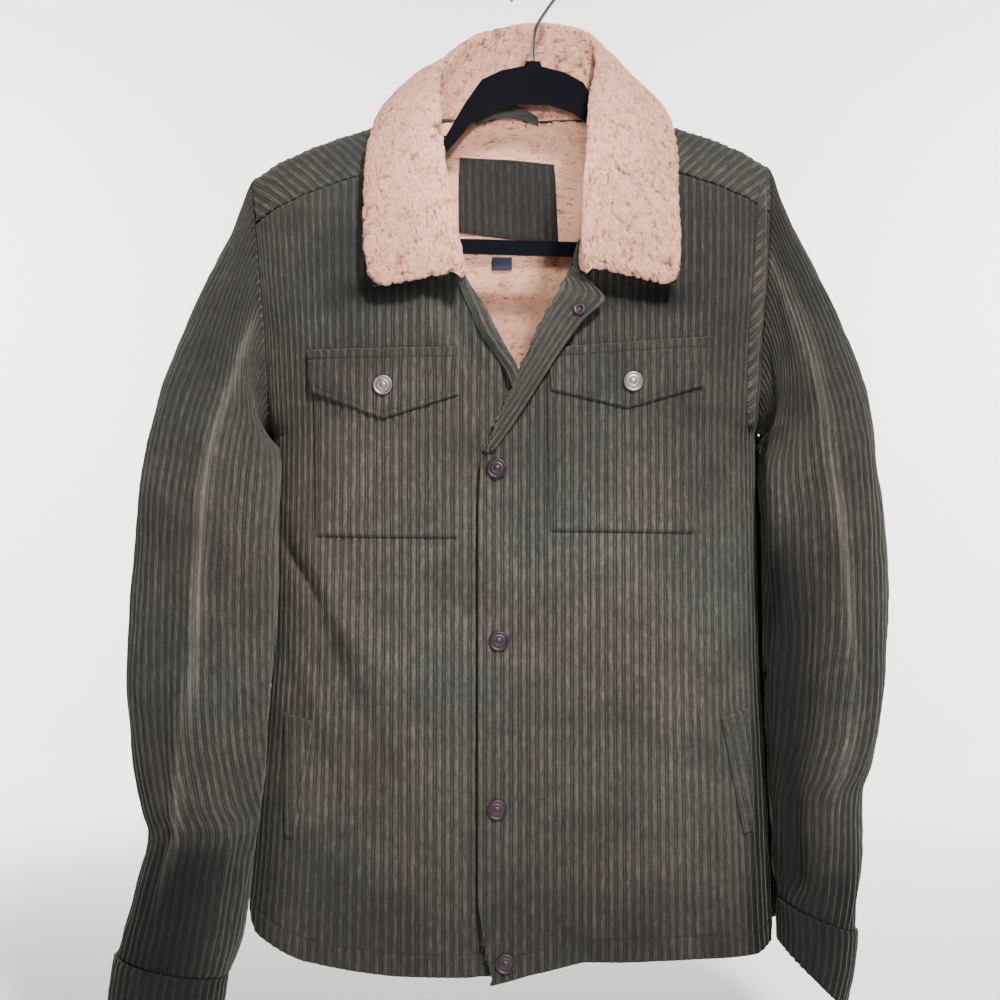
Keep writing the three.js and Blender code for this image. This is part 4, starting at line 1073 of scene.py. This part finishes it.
POCKETS = {
    -1: {"left": (-186, -189), "right": (-66, -64), "foot": (-502, -503), "top": (-343, -345)},
    1: {"left": (13, 10), "right": (137, 144), "foot": (-497, -499), "top": (-344, -342)},
}
FLAPS = {
    -1: {"left": (-191, -193), "right": (-65, -66), "foot": (-377, -402, -382), "top": (-342, -341)},
    1: {"left": (14, 12), "right": (144, 149), "foot": (-378, -393, -373), "top": (-342, -331)},
}
WELTS = {
    -1: {"left": (-214, -216), "right": (-206, -189), "foot": (-760, -762), "top": (-655, -660)},
    1: {"left": (180, 160), "right": (190, 184), "foot": (-760, -758), "top": (-658, -652)},
}
for side, where in ((-1, "right"), (1, "left")):
    grid = patch_grid(side, **POCKETS[side], count=120)
    x, z, across, side_gap, foot_gap, top_gap = grid
    sewn = np.maximum(stitched(side_gap - 1.6, z), stitched(foot_gap - 1.6, across))
    make_patch(f"pocket_{where}", grid, 0.5, POCKET_THICK, sewn)
    grid = patch_grid(side, **FLAPS[side], count=60)
    x, z, across, side_gap, foot_gap, top_gap = grid
    sewn = np.maximum(stitched(np.minimum(side_gap, foot_gap) - 5, across + z, 0.5) * 0.55, stitched(top_gap - 8, across))
    hang = 2.2 + 1.2 * ease(top_gap / 30)
    make_patch(f"flap_{where}", grid, hang, FLAP_THICK, sewn, rim=3.2)
    grid = patch_grid(side, **WELTS[side], count=70)
    x, z, across, side_gap, foot_gap, top_gap = grid
    grid = (x, z, aslant(WELTS[side], x, z), side_gap, foot_gap, top_gap)
    make_patch(f"welt_{where}", grid, 0.4, POCKET_THICK, stitched(side_gap - 1.8, z))


def strip_from(edge, fold, along, surface):
    """A strip whose wales run along its free edge: columns evenly apart from the edge, cut off at the fold."""
    width = np.linalg.norm(edge - fold, axis=-1)
    apart = np.arange(0, width.max() + STEP, STEP)
    part = 1 - np.clip(apart[None] / width[:, None], 0, 1)
    return surface(part[:, ::-1], along[:, None]), np.broadcast_to(apart[None, ::-1], part.shape)


def turned_at(u, v):
    s = section_at(TURNED, ["fold_x", "fold_z", "edge_x", "edge_z", "stand"], v)
    x, z = mix(s["fold_x"], s["edge_x"], u), mix(s["fold_z"], s["edge_z"], u)
    return front_point(x, z, -mix(SHELL + 0.6, s["stand"], np.sin(math.pi / 2 * u)))


def make_turned_facing():
    """The inside of the wearer's left front edge, folded open below the collar; it is faced with corduroy."""
    v = even(0, 1, 90)
    edge, fold = turned_at(np.ones(90), v), turned_at(np.zeros(90), v)
    points, across = strip_from(edge, fold, v, lambda u, v: turned_at(u, v + 0 * u))
    along = arc_length(points, 0)
    sewn = stitched(across - 6, along, 0.8) * 0.8
    points = points + normals_of(points) * corduroy_height(across, along, sewn)[..., None]
    grid = (points, across, along, {"sewn": sewn})
    return make_piece("front_facing_turned", [grid], corduroy, ["front_facing_turned"])


make_turned_facing()


def make_rolled_edge():
    """The wearer's right front edge, rolled over at the open neck so that a strip of its facing shows."""
    z = even(-268, -384, 90)
    edge_x = look_up(EDGE[-1], "z", "x", z)
    line = front_point(edge_x, z, 3.0)
    t = even(0, 1, 22)
    roll = np.sin(math.pi * even(0, 1, 90)) ** 0.6
    across_line = -14.5 * roll[:, None] * (1 - np.cos(math.pi * t))[None] / 2 + 1.5
    up = 9.0 * roll[:, None] * np.sin(math.pi * np.clip(t * 0.94, 0, 1))[None] ** 0.8
    points = (line[:, None] + np.stack([across_line, -up - 1.0, 0 * up], -1))[::-1, ::-1]
    across = arc_length(points, 1)
    along = arc_length(points, 0)
    points = points + normals_of(points) * corduroy_height(across, along)[..., None]
    return make_piece("front_edge_rolled", [(points, across, along, {})], corduroy, rim=1.5)


make_rolled_edge()


def make_armhole_ridge():
    """The wearer's left armhole seam, turned towards the body and topstitched: a ridge whose wales run aslant."""
    z = even(-196, -405, 140)
    line_x = side_x(1, z) - 7.5
    t = even(-1, 1, 26)
    wide = 5.5 * np.sin(math.pi * even(0.03, 0.97, 140)) ** 0.3
    x = line_x[:, None] + wide[:, None] * t[None]
    points = front_point(x, z[:, None] + 0 * x)[::-1]
    height = 2.6 * (1 - np.abs(t) ** 2.5)[None] + 0.2
    run, cross = arc_length(points, 0), x[::-1] - line_x[::-1, None]
    across = 0.62 * run - 0.78 * cross
    points = points + normals_of(points) * (height + corduroy_height(across, run))[..., None]
    return make_piece("armhole_ridge_left", [(points, across, run, {})], corduroy, rim=0)


make_armhole_ridge()


# The lining, seen through the neck and at the hem


def lining_rows(bottom, top, fine, coarse, from_z):
    """Heights of the lining's rows: close together down to from_z, wide apart under it."""
    low = mix(bottom, from_z, even(0, 1, coarse)[:-1, None])
    return np.concatenate([low, mix(from_z, top, even(0, 1, fine)[:, None])])


def make_lining(name, points, across, along):
    """Sherpa on the inside of a panel: the grid is moved in past the corduroy and its face turned to the inside."""
    height = sherpa_height(across, along, 4.4)
    inside = points - normals_of(points) * (SHELL + ABOVE + 0.6 + height * 0.86)[..., None]
    grid = (inside[:, ::-1], across[:, ::-1], along[:, ::-1], {"pile": (height / 4.4 + 0.1)[:, ::-1]})
    return make_piece(name, [grid], sherpa, [name], rim=2.0)


def make_lining_front(name, side):
    angle = even(math.pi / 12, math.pi / 2, 70)
    share = np.sin(angle)[None]
    edge, hem = EDGE[side], HEM[side]
    hem_in = look_up(edge, "z", "x", float(look_up(hem, "share", "z", 0.0)))
    hem_out = side_x(side, float(look_up(hem, "share", "z", 1.0)))
    bottom = look_up(hem, "share", "z", angle * 2 / math.pi)[None] + 14
    top_in = neck_x(side, YOKE_FRONT_DROP)
    top_x = mix(top_in, side_x(side, -210), share)
    top = shoulder_z(top_x) - YOKE_FRONT_DROP - SEAM
    z = lining_rows(bottom, top, 90, 40, -400)
    x = mix(look_up(edge, "z", "x", z), side_x(side, z), share)
    points = front_point(x, z)
    if side < 0:
        points = points[:, ::-1]
    across, along = arc_length(points, 1), arc_length(points, 0)
    return make_lining(name, points, across[40:41] + 0 * across, along)


make_lining_front("lining_front_right", -1)
make_lining_front("lining_front_left", 1)


def make_lining_back():
    turn = even(-1, 1, 190)[None]
    share = np.sin(turn * math.pi / 2)
    bottom = look_up(HEM_BACK, "share", "z", (turn + 1) / 2) + 14
    z = lining_rows(bottom, BACK_YOKE_Z - SEAM + 0 * bottom, 90, 60, -430)
    x = JACKET_X + share * half_width(JACKET_X + share, z)
    points = back_point(x, z)[:, ::-1]
    across, along = arc_length(points, 1), arc_length(points, 0)
    return make_lining("lining_back", points, across[100:101] + 0 * across, along)


make_lining_back()


def make_lining_yoke():
    w = np.concatenate([even(-1, 0, 24)[:-1], even(0, 1, 90)])
    halves = []
    for side in (1, -1):
        u = even(0, 1, 110)
        uu, ww = np.meshgrid(u if side > 0 else u[::-1], w)
        points = yoke_at(side, uu, ww)
        normal = normals_of(points)
        normal[(uu == 0) & (ww >= BACK_NECK_SHARE), 0] = 0
        across, along = points[..., 0], points[..., 2] + 400
        height = sherpa_height(across, along, 4.4)
        inside = points - normal * (SHELL + ABOVE + 0.6 + height * 0.86)[..., None]
        # Sewn in with the collar, the lining's edge comes up and back to the neck seam
        neckline = yoke_at(side, np.zeros(60), even(0, BACK_NECK_SHARE, 60))
        to_neck = np.linalg.norm(points[:, :, None] - neckline, axis=-1).min(-1)
        near = ease(1 - to_neck / 12)
        inside[..., 2] += 14.5 * near
        inside[..., 1] += 5 * near
        halves.append((inside[:, ::-1], across[:, ::-1], along[:, ::-1], {"pile": (height / 4.4 + 0.1)[:, ::-1]}))
    join_halves(halves[0][0][:, -1], halves[1][0][:, 0], w)
    return make_piece("lining_yoke", halves, sherpa, ["lining_yoke"], rim=2.0)


make_lining_yoke()


# On the lining: the patch at the neck, the size label, and the loop


def four_corners(corners, u, v):
    bl, br, tr, tl = (np.array(corner, float) for corner in corners)
    u, v = u[..., None], v[..., None]
    return mix(mix(bl, br, u), mix(tl, tr, u), v)


def make_neck_patch():
    """A bare patch of corduroy, its edges turned in and stitched down."""
    corners = [(-66.6, -225.7), (24.2, -237.5), (20.5, -164), (-67.5, -156.7)]
    u, v = np.meshgrid(even(0, 1, int(91 / STEP)), even(0, 1, 60))
    place = four_corners(corners, u, v)
    points = back_point(place[..., 0], place[..., 1])
    across, along = u * 91, v * 72
    border = np.minimum(np.minimum(across, 91 - across), np.minimum(along, 72 - along))
    sewn = stitched(border - 2.2, across + along, 0.6)
    plump = np.sqrt(1 - (1 - np.clip(border / 2, 0, 1)) ** 2)
    inward = SHELL + ABOVE + LINING + 1.6 + 1.2 * plump + corduroy_height(across, along, sewn)
    points = points[:, ::-1]
    inside = points - normals_of(points) * inward[:, ::-1, None]
    # Painted shade: the whole patch is painted darker, as shade falls on it inside the neck
    grid = (inside[:, ::-1], across, along, {"sewn": sewn, "painted_shade_and_sheen": -0.6 + 0 * u})
    return make_piece("neck_patch", [grid], corduroy, ["neck_patch"], rim=1.8)


make_neck_patch()


def make_size_label():
    corners = [(-36.5, -260.5), (-18.5, -260.5), (-18.5, -249), (-36.5, -249)]
    u, v = np.meshgrid(even(0, 1, 20), even(0, 1, 16))
    place = four_corners(corners, u, v)
    points = back_point(place[..., 0], place[..., 1])
    points[..., 1] -= SHELL + ABOVE + LINING + 1.2 + 1.4 * (1 - v) + 0.5 * np.sin(math.pi * u)
    return make_piece("size_label", [(points, u * 18, v * 12, {})], satin, ["size_label"], rim=0.5)


make_size_label()


def make_loop():
    u, v = np.meshgrid(even(0, 1, 60), even(0, 1, 12))
    arch = np.sin(math.pi * u)
    x = mix(-51, 5, u)
    y = 27 - 0.006 * (x - JACKET_X) ** 2 - 2 * arch - 1.2 * np.sin(math.pi * v)
    z = -134 + 8 * arch + (8 + 5 * arch) * v
    points = np.stack([x, y, z], -1)
    return make_piece("hanger_loop", [(points, u * 62, v * 8, {})], tape, ["hanger_loop"], rim=1.2)


make_loop()


# Snaps


def make_snap(name, at, step, profile, above, finish, replaces):
    """A lathed snap on the cloth's outward direction; the profile is (radius, height) from the rim's foot inwards."""
    middle = at(0.0, 0.0)
    across = at(step, 0.0) - at(-step, 0.0)
    along = at(0.0, step) - at(0.0, -step)
    out = np.cross(across, along)
    out = out / np.linalg.norm(out)
    right = across - out * (across @ out)
    right = right / np.linalg.norm(right)
    up = np.cross(out, right)
    turn = even(0, 2 * math.pi, 65)
    radius = np.array([r for r, _ in profile])[:, None]
    height = np.array([h for _, h in profile])[:, None] + above
    points = middle + radius[..., None] * (np.cos(turn)[None, :, None] * right + np.sin(turn)[None, :, None] * up)
    points = points + height[..., None] * out
    points[:, -1] = points[:, 0]
    grid = (points, radius * turn[None], radius + 0 * turn[None], {})
    return make_piece(name, [grid], finish, replaces, rim=0)


def rounded(profile, steps=5):
    """A profile with its corners softened by a smooth curve."""
    knots = np.array(profile, float)
    t = even(0, 1, steps * (len(knots) - 1) + 1)
    spread = np.repeat(knots[:, None], len(t), 1)
    return [tuple(p) for p in smooth_through(spread, t)]


SNAP_CAP = [(7.4, 0), (8.4, 0.5), (8.6, 1.3), (8.2, 2.2), (7.4, 2.6), (6.7, 2.3), (6.2, 1.9), (5.4, 2.0), (4.4, 2.3),
            (3.4, 2.2), (2.8, 2.1), (2.0, 2.5), (1.0, 2.8), (0, 2.9)]
SNAP_SOCKET = [(5.0, 0), (5.4, 0.7), (5.1, 1.6), (4.3, 2.1), (3.4, 2.0), (2.6, 1.7), (2.3, 1.0), (2.2, 0.7), (0, 0.7)]
PLACKET_SNAPS = [(-32, -444), (-30.5, -590), (-32, -732), (-25, -861)]
FLAP_SNAPS = {"right": (-128, -373), "left": (83, -370)}
for number, (x, z) in enumerate(PLACKET_SNAPS, 1):
    at = lambda a, b, x=x, z=z: on_front(np.array(x + a), np.array(z + b))
    make_snap(f"snap_placket_{number}", at, 0.5, rounded(SNAP_CAP), 0.9, copper, [f"snap_placket_{number}"])
for where, (x, z) in FLAP_SNAPS.items():
    at = lambda a, b, x=x, z=z: on_front(np.array(x + a), np.array(z + b))
    make_snap(f"snap_flap_{where}", at, 0.5, rounded(SNAP_CAP), 6.4, nickel, [f"snap_flap_{where}"])
at = lambda a, b: turned_at(np.array(0.67 + a), np.array(0.68 + b))
make_snap("snap_socket_turned", at, 0.02, rounded(SNAP_SOCKET), 0.6, copper, ["snap_socket_turned"])


# The hanger's wire hook


def make_hook():
    """Bright chromed wire, bent into a hook over the rail."""
    centre_z = -19.0
    turn = np.radians(even(-12, 205, 13))
    arc = np.stack([20.7 * np.cos(turn), 0 * turn, centre_z + 20.7 * np.sin(turn)], -1)
    knots = np.concatenate([np.array([[0, 0, -80.7], [0, 0, -66], [3, 0, -50], [13, 0, -34]], float), arc])
    t = even(0, 1, 150)
    path = smooth_through(np.repeat(knots[:, None], len(t), 1), t)
    tangent = np.gradient(path, axis=0)
    tangent = tangent / np.linalg.norm(tangent, axis=-1, keepdims=True)
    side_way = np.array([0.0, 1.0, 0.0])
    in_plane = np.cross(tangent, side_way)
    turn = even(0, 2 * math.pi, 17)
    radius = 1.7 * np.ones(len(t))
    radius[[0, -1]] = 0
    ends = np.concatenate([[0], np.arange(len(t)), [len(t) - 1]])
    radius = np.concatenate([[0], 1.7 * np.ones(len(t)), [0]])
    rings = np.cos(turn)[None, :, None] * side_way + np.sin(turn)[None, :, None] * in_plane[ends][:, None]
    points = path[ends][:, None] + radius[:, None, None] * rings
    points[:, -1] = points[:, 0]
    grid = (points, np.broadcast_to(turn[None], points.shape[:2]), arc_length(points, 0), {})
    return make_piece("hook_wire", [grid], chrome, ["hanger_hook"], rim=0)


make_hook()
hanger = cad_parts["hanger_frame"]
for place in hanger.material_slots:
    place.material = flock


# The studio


def make_stage():
    """A pale floor under the hem that curves up into a wall behind."""
    low = (frame_low - 60) * MM
    profile = [(-3.2, low)]
    profile += [(2.4 + 0.6 * math.sin(a), low + 0.6 * (1 - math.cos(a))) for a in even(0, math.pi / 2, 24)]
    profile += [(3.0, 3.2)]
    verts = [(x, y, z) for x in (-6.0, 6.0) for y, z in profile]
    count = len(profile)
    faces = [(k, k + 1, count + k + 1, count + k) for k in range(count - 1)]
    mesh = bpy.data.meshes.new("floor")
    mesh.from_pydata(verts, [], faces)
    mesh.shade_smooth()
    mesh.materials.append(plain_finish("pale paper", "f1f0ee", Roughness=0.9))
    floor = bpy.data.objects.new("floor", mesh)
    bpy.context.scene.collection.objects.link(floor)


def add_light(name, place, size, power, aim=(-0.03, 0.0, -0.45), spread=180):
    data = bpy.data.lights.new(name, "AREA")
    data.shape = "DISK"
    data.size = size
    data.energy = power
    data.spread = math.radians(spread)
    light = bpy.data.objects.new(name, data)
    light.location = place
    light.rotation_euler = (Vector(aim) - Vector(place)).to_track_quat("-Z", "Y").to_euler()
    bpy.context.scene.collection.objects.link(light)


frame_low = min(corner[2] for corner in cad_box) / MM
make_stage()
add_light("key", (0.66, -1.95, 1.35), 0.32, 200)
add_light("fill", (-0.2, -2.7, -0.1), 1.2, 13)
add_light("left", (-1.9, -1.3, 0.3), 1.2, 5)
add_light("backdrop left", (-1.9, 1.6, 0.3), 0.8, 105, (0, 3.0, -0.5))
add_light("backdrop right", (1.9, 1.6, 0.3), 0.8, 105, (0, 3.0, -0.5))
add_light("neck", (-0.05, -1.3, -0.12), 0.12, 0.24, (-0.03, 0.0, -0.19), 14)
world = bpy.data.worlds.new("studio air")
world.use_nodes = True
world.node_tree.nodes["Background"].inputs["Color"].default_value = (0.93, 0.95, 1.0, 1)
world.node_tree.nodes["Background"].inputs["Strength"].default_value = 0.15
bpy.context.scene.world = world

camera = bpy.data.cameras.new("camera")
camera.lens = 71.2
camera.sensor_width = 36
eye = bpy.data.objects.new("camera", camera)
eye.location = (-0.0294, -1.76, -0.4709)
eye.rotation_euler = (math.pi / 2, 0, 0)
bpy.context.scene.collection.objects.link(eye)
bpy.context.scene.camera = eye
